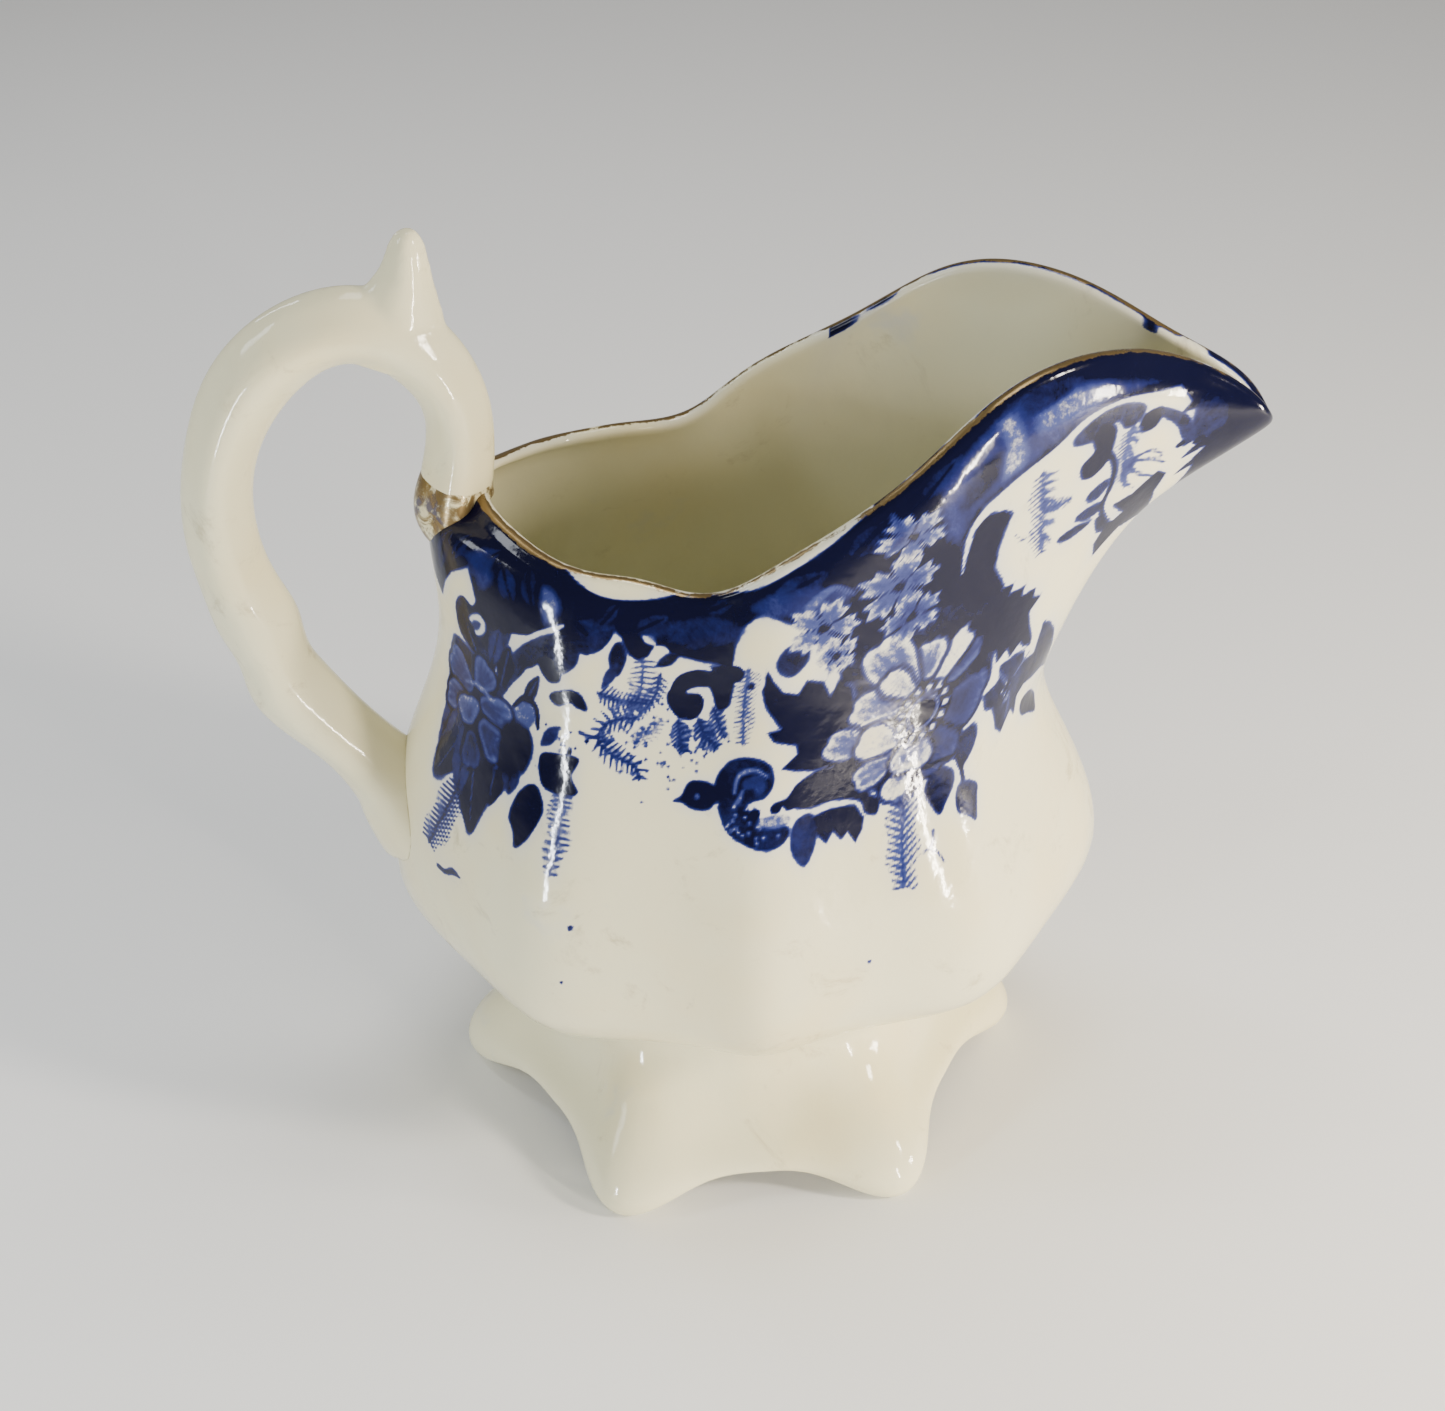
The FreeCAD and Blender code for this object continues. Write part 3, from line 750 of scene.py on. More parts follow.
def print_shoulder(work):
    """Marbled cloud and scroll work that climb to the high point of the rim."""
    work.patch(MID, (9, 66), (12.4, 73.6), (17, 76.2), (22, 76), (27, 75.2), (30, 74.2),
               (26, 73.4), (22, 71), (18.6, 67.2), (15.2, 63.4), (13.6, 60), (14.4, 56.6),
               (11, 60), edge=0.9)
    work.patch(0.3, (12.6, 72.4), (14.4, 72.6), (16.4, 69.4), (17, 67), (15.6, 65.6), (14.2, 67.6),
               (14.4, 69.8), edge=0.8)
    work.patch(0.36, (16.4, 73.8), (19, 75.2), (24, 74.8), (22.6, 72.8), (20, 71.4), (17.6, 70.6),
               edge=1.0)
    work.patch(DEEP, (14, 75), (17, 76.6), (20, 76.4), (18.6, 74.4), (16, 73), edge=0.7)
    work.patch(DEEP, (11.8, 66), (14, 69), (14.8, 65.4), (13.2, 62.4), (11.8, 62.6), edge=0.7)
    work.stroke(BARE, (0.3, 0.9, 1.5, 1.2, 0.8), (15.8, 53), (15, 56), (14.7, 60), (17.2, 64),
                (20.6, 67.8), (22.8, 71), (26, 72.5), (30.4, 72.5))
    work.patch(DARK, (14.9, 58.6), (15.8, 60.4), (17.4, 60.9), (18.6, 60.2), (18.3, 58.8),
               (17.2, 57.4), (18.2, 56.2), (18.4, 54.6), (19.4, 54.4), (19.2, 52.4), (20.8, 51.6),
               (21, 50.4), (22.3, 50), (20, 47), (17.4, 49.4), (16.8, 52.5), (16.9, 55.6),
               (15.6, 57.4))
    for centre, radius, turn, tone, squash in (
            ((8.6, 53.0), 3.9, 0.4, 0.5, 1.15), ((8.0, 59.6), 3.2, 1.1, 0.42, 1.0),
            ((2.8, 48.6), 2.9, 0.1, 0.42, 1.3), ((4.6, 44.8), 2.0, 0.8, 0.36, 1.4),
            ((11.6, 48.4), 3.4, 0.9, 0.52, 1.0)):
        work.star(centre, radius, turn, tone, squash)
    work.stroke(SOFT, (0.9, 0.4), (1.4, 51.6), (2.8, 54), (4.4, 53))
    work.stroke(0.5, (0.5, 0.9, 0.4), (5.4, 62.6), (6.8, 60), (6.2, 57.8))


def print_spout(work):
    """Comma scroll, sprigs and ferns under the lip."""
    work.patch(DEEP, (36.6, 69.8), (38.4, 71.4), (41.4, 70), (42.6, 67), (41, 65.2), (38.4, 66.4),
               edge=0.5)
    for base, tip, width in (((37.6, 72), (35, 69.6), 1.6), ((43, 66), (41.2, 61.8), 1.8),
                             ((45.4, 63), (44, 58.4), 1.8), ((40.6, 68.6), (39.2, 64), 1.6)):
        work.leaf(0.85, base, tip, width)
    work.patch(DEEP, (22.1, 69.4), (24.2, 71.8), (27, 72.4), (29.4, 71.4), (29.3, 69.4), (28, 69),
               (26.4, 70.2), (25, 68.4), (22.6, 68))
    work.patch(DARK, (24.8, 70), (26.6, 69.6), (27.5, 67.3), (27.9, 64.8), (27, 63.1), (25.6, 63.3),
               (24.7, 65), (25.4, 66.7), (24.6, 68.2))
    work.patch(DARK, (29.9, 70.4), (31.8, 70.8), (32.3, 68.4), (30.9, 67.8), (29.8, 69))
    work.stroke(DEEP, (1.0, 1.5, 1.4, 0.8), (32, 70.2), (35.6, 68.4), (38.6, 65.8), (41.6, 65.4))
    work.dots(DARK, 1.2, (38.4, 64.6), (40.8, 64.8))
    work.stroke(DARK, (0.6, 0.6, 0.5), (26.6, 66.8), (29.2, 64.2), (30.9, 60.8), (31.6, 58),
                (33, 56), (36, 53.6), (39.4, 52.4))
    for leaf in (((28, 60.4), (29.4, 62), (30.4, 61), (30, 59.2), (28.6, 59.2)),
                 ((28.1, 57.2), (29.6, 58.4), (31.8, 58), (31.6, 56.6), (29.6, 56.2)),
                 ((27.2, 54.8), (29, 55.8), (31.6, 55.6), (30, 54.2), (28.2, 53.9)),
                 ((32.2, 55.6), (34, 55.4), (36.4, 53.2), (38.6, 52.4), (35, 52.6))):
        work.patch(DEEP, *leaf)
    work.fern(1.5, (20, 65.4), (22, 61), (23.8, 57), (25.8, 53.4), tone=0.52, count=12)
    work.fern(0.9, (22.2, 60.6), (24, 60.2), (25.6, 60.6), tone=0.5, count=4)
    work.stroke(SOFT, (0.4, 0.4), (20.4, 57.2), (21.6, 56.2), (22.8, 56.8))
    work.fern(1.3, (29, 69), (30, 65.6), (32.6, 61.4), tone=0.52, count=9)
    for tip in ((36.8, 63.2), (38.4, 61.8), (38, 59.8), (36, 58.8), (34, 59.4)):
        work.stroke(0.5, (0.7, 0.5, 0.3), (31, 63.6), ((31 + tip[0]) / 2, tip[1] + 1.4), tip)
    work.patch(0.97, (34, 56.8), (37, 57.4), (38.6, 60.4), (41, 59.4), (43, 55.8), (47, 52.6),
               (52, 49.6), (46, 50.6), (41.4, 50.8), (39, 47.6), (36.4, 50.4), (36.2, 52.6),
               (38.4, 54.2), (36, 55.6), crisp=True)


def print_daisy(work):
    """The big open flower with its dark leaves."""
    work.patch(0.86, (6, 44), (9, 47), (14, 49), (21, 48), (24, 44), (26, 39.6), (26.4, 35.4),
               (25.4, 32), (24, 28), (21.4, 26.2), (19, 23.6), (16, 24.4), (12, 27), (8.6, 29.4),
               (6.6, 32), (8.4, 36), (8, 39))
    work.patch(DARK, (-1.4, 43.8), (-0.5, 42), (0.6, 40.6), (2, 40.3), (2.5, 42), (4, 41.6),
               (5.2, 39.4), (5.6, 41.6), (7.3, 40.2), (8.4, 37.4), (9.2, 34.6), (7.6, 34),
               (6.4, 32.8), (8, 30.2), (5.5, 30), (3.6, 30.4), (1.8, 31), (3.2, 32.6),
               (2.8, 33.8), (0.4, 34.5), (-0.4, 35.6), (1, 36), (0, 37.4), (-1, 39), (-1.5, 41),
               crisp=True)
    work.patch(DARK, (1.9, 26.6), (3, 27.2), (4, 28.8), (6.4, 29.9), (10, 29.4), (12, 27.4),
               (13, 25.7), (15, 24.3), (14.9, 22.5), (13.4, 22.9), (12.5, 24.6), (9, 25.4),
               (5.6, 25.2))
    work.patch(0.92, (5.6, 23.7), (8.5, 24.4), (12, 24.2), (13.3, 22.3), (13, 20.8), (12.1, 19.4),
               (11.2, 21), (10.3, 20.1), (9.3, 21.4), (8.4, 20.1), (7.2, 21.4), crisp=True)
    work.patch(0.72, (4.4, 24), (6.3, 24.4), (7.2, 22), (6.7, 19.6), (5.4, 17.9), (4, 19.6),
               (3.7, 22))
    for base, tip, width, rim, core in (
            ((21, 35.2), (26.4, 35), 7.2, 0.55, 0.74), ((20.2, 31.8), (23.4, 27), 6.0, 0.5, 0.74),
            ((20, 38.6), (22.6, 46.2), 5.6, 0.30, 0.70), ((18.6, 38.6), (20.4, 45.6), 3.0, 0.0, 0.2),
            ((16.8, 39.4), (15.4, 44.4), 4.4, 0.05, 0.5), ((15.4, 38.0), (8.6, 45.4), 5.6, 0.02, 0.62),
            ((15.2, 36.4), (8.2, 37.0), 4.6, 0.02, 0.55), ((15.6, 37.6), (11.2, 40.6), 3.2, 0.0, 0.3),
            ((12.4, 31.4), (6.2, 33.2), 4.0, 0.05, 0.62), ((16.4, 29.6), (11.4, 26.8), 3.6, 0.1, 0.6),
            ((15.8, 31.6), (10.4, 32.4), 4.4, 0.0, 0.26), ((17.8, 27.8), (16.6, 23.8), 3.6, 0.0, 0.35),
            ((18.2, 32), (18.6, 27.2), 5.6, 0.12, 0.5)):
        work.petal(base, tip, width, rim, core)
    work.beads((18.0, 34.8), 3.6, count=13, squash=1.15)
    work.patch(DEEP, (-0.5, 44.4), (0.2, 46.4), (1.8, 47), (2.2, 44.6), (1.2, 42.7), (0, 43))


def print_right(work):
    """Serrated leaf, star flower, sprig and fern to the right of the daisy."""
    work.patch(0.97, (20, 50.6), (21.6, 51), (22.3, 49.6), (23.8, 50), (24, 48.6), (25.8, 49),
               (26.2, 47.6), (28, 47.9), (28.5, 46.5), (30, 46.2), (29.2, 44.2), (31, 41.6),
               (33.2, 39), (33.8, 37.8), (31.6, 38.8), (30.4, 39.8), (29.4, 38.4), (28, 40),
               (27, 38.6), (26, 40.5), (24.8, 41), (24.5, 38.2), (23.5, 39), (23, 43), (20, 45),
               crisp=True)
    work.patch(0.82, (28, 37.8), (30.5, 38.2), (32.8, 37.6), (34, 35.6), (36.5, 35.4), (34.6, 40.6),
               (37, 39.4), (41, 36.4), (45, 32.4), (48, 28.4), (44, 30), (40.6, 30.2),
               (38, 30.6), (37, 29.6), (38.4, 26.5), (36.4, 28.2), (35.2, 25.8), (33, 27.4),
               (31.5, 29.6), (30.2, 31.2), (28.3, 32), (26.9, 34.3), (29, 35.4), crisp=True)
    work.stroke(SOFT, (0.5, 0.3), (28.6, 36.6), (30.6, 34.8), (32, 33.6))
    work.stroke(SOFT, (0.5, 0.3), (34.6, 36.6), (33.4, 35), (32.6, 33.6))
    work.stroke(SOFT, (0.4, 0.3), (33, 32.4), (34.6, 30), (35.4, 27.6))
    work.beads((32.1, 33.0), 1.3, count=7, squash=1.0)
    work.dots(SOFT, 1.2, (33.3, 31))
    work.patch(DARK, (40, 27.4), (42.6, 27.4), (46.4, 25), (47.4, 22.4), (44.4, 23.6), (41.6, 24.8))
    work.patch(DEEP, (25, 30), (26.8, 31), (28.2, 29.6), (28.5, 27.5), (27.6, 26.1), (26.5, 25.4),
               (25.2, 27.8))
    work.patch(DEEP, (21.6, 25.6), (23.5, 26.6), (25.3, 25.8), (25.7, 24), (24.5, 22), (23.3, 20.7),
               (22, 22.5), (21.3, 24))
    work.patch(DEEP, (26.3, 23.2), (28, 23.4), (30, 22), (29.8, 20.6), (28.8, 17.8), (27.5, 19),
               (26, 20.3))
    work.stroke(DARK, (0.5, 0.6), (21, 27.2), (24.6, 27.7), (26.4, 26), (27.3, 23.8))
    work.fern(2.1, (18.6, 24.6), (18.2, 20), (17.6, 15.6), (17.2, 12.4), tone=0.56, count=13)
    work.stroke(MID, (0.4, 0.4, 0.3), (22.2, 19), (21.7, 17.2), (20.4, 16.4))
    work.stroke(MID, (0.4, 0.3), (21.4, 16.6), (22.2, 16), (22.7, 14.6))


def print_middle(work):
    """Scrolls and ferns between the two flower groups."""
    work.patch(BARE, (-4.8, 41), (-4.8, 44.4), (-4.3, 47), (-2.6, 49.4), (-1.2, 49.8), (0.2, 48.4),
               (0.2, 46.8), (-0.8, 45.4), (-1.3, 43.8), (-1.6, 41))
    work.fern(1.25, (-3.1, 43.4), (-3.2, 39), (-2.9, 34), tone=0.48, count=10, lean=0.3)
    work.dots(DARK, 0.7, (-2.7, 41.3))
    work.fern(1.7, (-16.6, 43.4), (-16.4, 40), (-17.4, 37), tone=0.5, count=7, lean=0.2)
    work.fern(1.3, (-22.4, 38.8), (-19.6, 38), (-16, 37.8), tone=0.6, count=7)
    work.fern(1.5, (-16.6, 36), (-20.4, 35.2), (-21.6, 33), (-19.8, 31.4), (-16.4, 30),
              (-15.6, 28.4), tone=0.68, count=12)
    work.fern(1.1, (-17, 33), (-14.8, 34.2), (-13.4, 36), tone=0.35, count=6)
    work.stroke(DARK, (2.0, 2.4, 2.8, 3.2, 2.6, 1.6), (-4.6, 42.6), (-7.4, 42), (-10.4, 41),
                (-11.3, 38.8), (-9.8, 37.6), (-9, 38.6))
    work.dots(DARK, 4.2, (-10.3, 38.3))
    work.patch(0.95, (-8.4, 42.4), (-5, 43.2), (-4.8, 39.2), (-5.6, 38), (-6.4, 38), (-7.2, 40))
    work.stroke(BARE, (0.4, 0.9, 0.8, 0.4), (-12.9, 39.6), (-12, 41.8), (-9.6, 42.9), (-7.6, 42.8))
    work.stroke(0.1, (0.5, 1.1, 0.8, 0.3), (-10.2, 39.7), (-8.6, 40), (-7.4, 39), (-7.1, 37.4))
    work.stipple(0.6, (-17, 34), 5.0, 60)
    work.stipple(0.6, (-9, 33.4), 3.4, 34)
    work.stipple(0.5, (-12.6, 30), 3.0, 14)
    work.leaf(0.66, (-20, 42.6), (-22, 39.4), 1.6)
    work.leaf(0.8, (-14.6, 42.6), (-11.6, 44.4), 1.4)
    work.fern(1.1, (-14, 41.6), (-14.6, 38.6), (-16.4, 36.4), tone=0.6, count=6)
    work.fern(1.1, (-11.2, 36), (-10.8, 34), (-10.2, 32.2), tone=0.72, count=6)
    work.fern(1.2, (-8.6, 36.4), (-7.6, 34.4), (-6, 33.2), tone=0.72, count=6)
    work.fern(1.0, (-6.8, 38), (-6, 36), (-5.2, 34.6), tone=0.62, count=5)
    work.patch(0.84, (-5.6, 30), (-4, 32), (-1.6, 32.5), (0.4, 31.6), (1.1, 29.4), (0.4, 27.6),
               (-1, 27.1), (-1.8, 26.4), (-0.6, 25.2), (1.6, 24.4), (3.6, 23.2), (3, 21.6),
               (1, 20.9), (-1.6, 21.6), (-4, 23), (-5.2, 25.5), (-5.9, 28))
    work.stroke(0.35, (0.4, 0.7, 0.4), (-3.4, 28), (-3, 30.2), (-1.2, 31), (0.2, 30.2))
    work.stroke(MID, (1.2, 1.6, 1.0), (-2, 29.2), (-0.8, 29.6), (-0.4, 28.6))
    work.stroke(0.4, (0.4, 0.7, 0.3), (-2.4, 28.4), (-2.8, 27.2), (-3.4, 26.4))
    work.patch(0.3, (-0.4, 24.4), (1, 25.4), (3.4, 25), (3.6, 24), (1.6, 23.6))
    work.dots(0.95, 1.3, (-2.2, 26), (-0.8, 25.6), (1.7, 26.1), (3.4, 26.2))
    work.stipple(0.2, (-2.4, 24.6), 2.6, 22)
    work.dots(0.3, 0.5, (-1.4, 23.2), (0.4, 22.6), (2.2, 22.6), (-3.4, 24.6), (-0.4, 21.9))
    work.patch(0.95, (-11, 26.1), (-10, 26.9), (-9, 28.7), (-6.6, 28.8), (-5.2, 27.6),
               (-6.5, 25.6), (-8.5, 25.4), (-9.8, 26))
    work.dots(SOFT, 0.7, (-8, 27))


def print_left(work):
    """The flower seen from its side, with its arch, leaves and ferns."""
    work.patch(DEEP, (-49.4, 37), (-45, 37.2), (-40, 35.6), (-36.4, 33.4), (-32, 31.4), (-31.4, 27),
               (-33.6, 23.6), (-36, 20), (-37, 18), (-38.8, 13.9), (-40.4, 15.6), (-41.8, 17.6),
               (-44, 20), (-46.4, 17.4), (-48.4, 17.8), (-49, 24), (-50, 30), edge=0.6)
    work.patch(DEEP, (-47.6, 43), (-46, 44.2), (-44, 43.6), (-42.4, 45), (-39, 44), (-36.6, 43),
               (-37.4, 40), (-39.4, 36.4), (-40.4, 35), (-43, 36.6), (-47, 38.4), (-48, 41))
    work.patch(0.1, (-45.4, 40.4), (-44.2, 42.3), (-42.4, 43), (-41.2, 42), (-41.6, 40.6),
               (-43.2, 39.8))
    work.patch(MID, (-44.4, 40.4), (-43.6, 41.7), (-42.2, 41.8), (-43, 40.6))
    work.patch(DARK, (-42.9, 44), (-41, 46.2), (-38, 46.6), (-33, 47.4), (-32.3, 44.6),
               (-36, 43), (-40, 42.3))
    work.stroke(0.1, (0.4, 0.9, 1.4, 1.2, 0.5), (-39.8, 33.2), (-38.2, 37.4), (-35.4, 41),
                (-32, 44.2), (-28.6, 46.4))
    work.stroke(0.78, (1.6, 2.6, 3.0, 2.6, 1.8), (-38.6, 33), (-36.8, 37), (-33.4, 41),
                (-29.6, 43.8), (-24, 45))
    work.patch(BARE, (-34, 38.4), (-32.6, 39.6), (-30, 38.9), (-28.7, 38.5), (-29, 37),
               (-30.6, 36.6), (-31.6, 35.6), (-33.6, 36))
    work.patch(BARE, (-37.5, 33.5), (-36, 35), (-35.3, 34.4), (-36, 32.5))
    work.patch(DARK, (-31.7, 40.8), (-30, 42), (-28.4, 41), (-28.2, 39.3), (-30, 38.9))
    work.patch(DARK, (-28.8, 37.8), (-26.5, 38.6), (-24.8, 38.2), (-23.7, 36.5), (-25, 36.5),
               (-26.3, 37), (-28, 36.2), (-29.4, 36.9))
    work.patch(DEEP, (-28.2, 43.4), (-26, 44.4), (-26, 42), (-28.2, 40.2), (-29.4, 41.4))
    for tone, base, tip, width in (
            (DARK, (-41, 25), (-38.7, 14.2), 5.6), (DARK, (-45, 24), (-47.8, 17.8), 4.4),
            (DARK, (-37, 27), (-36.2, 19.6), 4.4), (0.66, (-44, 27), (-42.2, 17.4), 4.2),
            (0.66, (-47, 31), (-48.8, 22), 3.2), (DARK, (-38, 35), (-36.6, 41), 3.0),
            (0.62, (-40, 37), (-38.6, 42.6), 2.6), (DARK, (-43, 37), (-46.8, 42.4), 2.6),
            (0.7, (-34, 27), (-33.4, 22.4), 3.2), (0.95, (-33.4, 34.4), (-31.4, 39), 1.8)):
        work.leaf(tone, base, tip, width, rib=0.5 if tone > 0.9 else 0.95)
    for base, tip, width, rim, core in (
            ((-42.5, 32.6), (-40.6, 36.6), 5.0, 0.34, 0.68), ((-44, 31.6), (-50, 34.6), 4.8, 0.36, 0.66),
            ((-44.6, 29.8), (-49.8, 29), 3.8, 0.32, 0.74), ((-41.6, 31), (-35.2, 31.2), 4.0, 0.30, 0.68),
            ((-41, 28.4), (-36, 26.2), 4.4, 0.34, 0.76), ((-43.6, 27.2), (-44.6, 30.6), 5.0, 0.30, 0.66),
            ((-42.6, 26.4), (-41, 22.2), 3.8, 0.5, 0.8)):
        work.petal(base, tip, width, rim, core)
    work.stipple(0.3, (-34, 29), 3.0, 14)
    work.stroke(0.35, (0.4, 0.8, 0.4), (-45.6, 32.2), (-42.6, 32.9), (-39, 32.2))
    work.patch(0.4, (-34.8, 32.4), (-34, 34.4), (-32, 34.6), (-31.2, 33), (-32.6, 31.4))
    work.stroke(DARK, (0.5, 0.9, 0.5), (-35.2, 33.4), (-33.4, 35.3), (-31.4, 34.8), (-30.6, 32.4))
    work.patch(BARE, (-30.2, 36), (-29, 36.2), (-28.6, 34), (-29.8, 32), (-30.4, 33.6))
    work.patch(DARK, (-36.4, 30.4), (-33, 31.6), (-31, 30), (-31.6, 26.6), (-35, 24.4),
               (-36.6, 26.6), edge=0.7)
    work.patch(0.97, (-29.6, 29), (-28, 30.1), (-24, 30.3), (-24.6, 28), (-23.4, 26), (-26, 25.4),
               (-28.6, 26))
    work.patch(0.93, (-30.6, 25), (-29, 25.3), (-27.6, 23), (-28.4, 20), (-29.4, 18),
               (-30.8, 16.6), (-31.4, 18.4), (-32.6, 20), (-32, 23))
    work.fern(1.6, (-25.6, 25.6), (-25, 20), (-25.4, 15.2), tone=0.62, count=12, lean=0.2)
    work.fern(2.4, (-42.4, 19), (-44, 14), (-46.4, 8), tone=0.82, count=11, lean=0.6)
    work.stroke(DEEP, (0.7, 0.7, 1.0, 0.4), (-44.2, 5.8), (-42.6, 6), (-41.2, 7), (-39.8, 7.1))
    work.stroke(MID, (0.5, 0.5), (-24.4, 33.6), (-22.6, 33.2), (-21, 33.4))
    work.leaf(0.7, (-27.4, 33.6), (-29.8, 30.4), 1.8)
    work.leaf(DEEP, (-30.6, 41.6), (-27.2, 45), 1.8)
    work.stipple(MID, (-27, 32), 2.6, 16)
    work.dots(DARK, 0.5, (-25.4, 30.9), (-23.2, 32.6))


LIP_EDGE = 0.1      # depth below the rim's top where the outside begins, mm
# where the lip was left bare outside: middle and half length round the girth, depth, mm
BARE_LIPS = ((-21.5, 9.5, 2.7), (-1.0, 5.5, 1.7))
# where the border runs over the rim: middle and half length round the girth, depth inside, mm
INNER_PATCHES = ((-22.5, 5.0, 1.9), (-13.5, 1.0, 1.2), (3.0, 3.0, 1.7), (7.8, 0.8, 1.0),
                 (23.0, 12.0, 0.4), (31.5, 0.6, 1.7), (48.0, 9.0, 0.8))


def paint(u, v, below_rim):
    """Ink for spots on one side of the jug, from handle to spout."""
    work = Print(u, v)
    for part in (print_border, print_daisy, print_shoulder, print_spout, print_right,
                 print_middle, print_left):
        part(work)
    work.dots(0.95, 0.6, (-22.2, 8.8), (-25.4, 30.9))
    work.dots(0.85, 0.4, (-23.2, 0.6), (-22, -0.5), (-31, -2), (12, 3))
    for middle, half, deep in BARE_LIPS:
        edge = deep * np.clip(1 - ((u - middle) / half) ** 2, 0, 1)
        work.lay(slice(None), soft(edge - below_rim) * (edge > 0), BARE)
    inner = sum(soft(half - abs(u - middle), 0.8) * soft(deep + below_rim, 0.4)
                for middle, half, deep in INNER_PATCHES)
    return work.ink * np.where(below_rim < LIP_EDGE, np.clip(inner, 0, 1), 1)


# gilding along the lip: middle and half length round the girth, mm, and how much of it is left
GILDING = ((-46.0, 12.0, 1.0), (-24.0, 16.0, 0.72), (0.0, 8.0, 0.62), (20.0, 14.0, 0.78),
           (42.0, 12.0, 0.45))


# ---- pieces --------------------------------------------------------------------------------------

# rows and points round of each fine mesh
FOOT_GRID, SLIP_GRID, BLOCK_GRID = (110, 480), (30, 192), (120, 256)
HANDLE_GRID, SPUR_GRID, HEEL_GRID, COLLAR_GRID = (260, 72), (60, 48), (30, 64), (60, 96)
# rows of the body's fine mesh below the print, across it, over the rim and inside
BELOW_PRINT, PRINT_ROWS, OVER_RIM, INSIDE_ROWS = 12, 200, 10, 26
# net rows: where heights on the wall count from, where girth is measured, where print may begin
LEVEL_ROW, GIRTH_ROW, FIRST_PRINTED = 4, 6, 2
RIM_TOP = 2     # rows of the roll up to the top of the rim
# grid steps over which the blue spreads, and how full the print starts out
FLOW_REACHES, FLOW_START = (1, 1, 2, 2, 3, 3), 1.2
INNER_SHADE_DEPTH = 34.0       # depth below the rim at which the inside's painted light and shade is full, mm
# the gilt line: depth of its middle below the rim, half its width and its soft edge, mm
GILT_LEVEL, GILT_HALF, GILT_FADE = 0.1, 0.55, 0.45
# the wet sponge that rounds the joined clay of the handle
SPONGE_FACTOR, SPONGE_PASSES = 0.5, 7
# height of the block's flat top and drop of its edge below the rim's middle line, mm
BLOCK_TOP, BLOCK_RIM_DROP = 90.0, -0.9


def flowed(ink):
    """The print spread as cobalt flows into the glaze."""
    flow = np.clip(ink * FLOW_START, 0, 1)
    for reach in FLOW_REACHES:
        flow = (flow + np.roll(flow, reach, axis=1) + np.roll(flow, -reach, axis=1)
                + np.roll(flow, reach, axis=0) + np.roll(flow, -reach, axis=0)) / 5
    return flow


def finish_piece(piece, material, slot, *nodes):
    """Glazes a piece, hides the clay nodes it stands for and hangs it from the root body."""
    if not piece.data.polygons:
        raise RuntimeError("nothing is left of " + piece.name)
    piece.data.materials.append(material)
    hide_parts(*nodes)
    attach(piece, "root")


class JUG_OT_body(bpy.types.Operator):
    """Casts the panelled body with its spout and prints it"""
    bl_idname = "jug.body"
    bl_label = "Printed body"

    def execute(self, context):
        wall, rim_wall = sizes().wall / MM, sizes().rim_wall / MM
        net = np.array(outer_rows() + rim_rows(rim_wall) + inner_rows(wall, rim_wall))
        outer_end = len(outer_rows())
        rim_end = outer_end + len(RIM_ROLL)
        along = np.concatenate([
            np.linspace(0, LEVEL_ROW, BELOW_PRINT, endpoint=False),
            np.linspace(LEVEL_ROW, outer_end, PRINT_ROWS, endpoint=False),
            np.linspace(outer_end, rim_end - 1, OVER_RIM, endpoint=False),
            np.linspace(rim_end - 1, len(net) - 1, INSIDE_ROWS)])
        count = sizes().girth_points
        points = spanned(net, even(BODY_COLUMNS, count), along)
        mesh = new_mesh("printed_body", points, grid_faces(len(along), count))
        for name, values in self.decorate(points, along, outer_end).items():
            attribute(mesh, name, values)
        finish_piece(place(mesh, "printed_body"), printed_glaze(), "printed_glaze", "body")
        return {"FINISHED"}

    @staticmethod
    def decorate(points, along, outer_end):
        """Ink, flow, gilding and painted inner shade for every point; one side is a mirror of the other.
        """
        rows, count, _ = points.shape
        side = np.arange(count // 2, count + 1) % count
        girth = points[np.argmin(abs(along - GIRTH_ROW))]
        steps = np.linalg.norm(np.roll(girth, -1, axis=0) - girth, axis=1)
        around = np.concatenate([[0], np.cumsum(steps)])[count // 2:]
        u = around - around[count // 4]
        rises = np.linalg.norm(np.diff(points, axis=0), axis=2)
        up = np.concatenate([np.zeros((1, count)), np.cumsum(rises, axis=0)])
        v = up - up[np.argmin(abs(along - LEVEL_ROW))]
        below = up[np.argmin(abs(along - (outer_end + RIM_TOP)))] - up
        wall = np.nonzero((along > FIRST_PRINTED) & (along < outer_end + len(RIM_ROLL) + 1))[0]
        part = np.ix_(wall, side)
        ink = np.zeros((rows, count))
        spread = np.broadcast_to(u, (len(wall), len(side)))
        painted = paint(spread.ravel(), v[part].ravel(), below[part].ravel())
        ink[part] = painted.reshape(spread.shape)
        far = np.arange(1, count // 2)
        ink[:, far] = ink[:, -far]
        gilt = np.zeros((rows, count))
        worn = sum(share * soft(half - abs(u - middle), 3.0) for middle, half, share in GILDING)
        lip = GILT_HALF - abs(below[:, side] - GILT_LEVEL)
        gilt[:, side] = np.clip(worn, 0, 1) * soft(lip, GILT_FADE)
        gilt[:, far] = gilt[:, -far]
        # painted light and shade inside, growing with depth below the rim
        inside = np.clip(-below / INNER_SHADE_DEPTH, 0, 1)
        return {"ink": ink, "flow": flowed(ink), "gilt": gilt, "inside": inside}


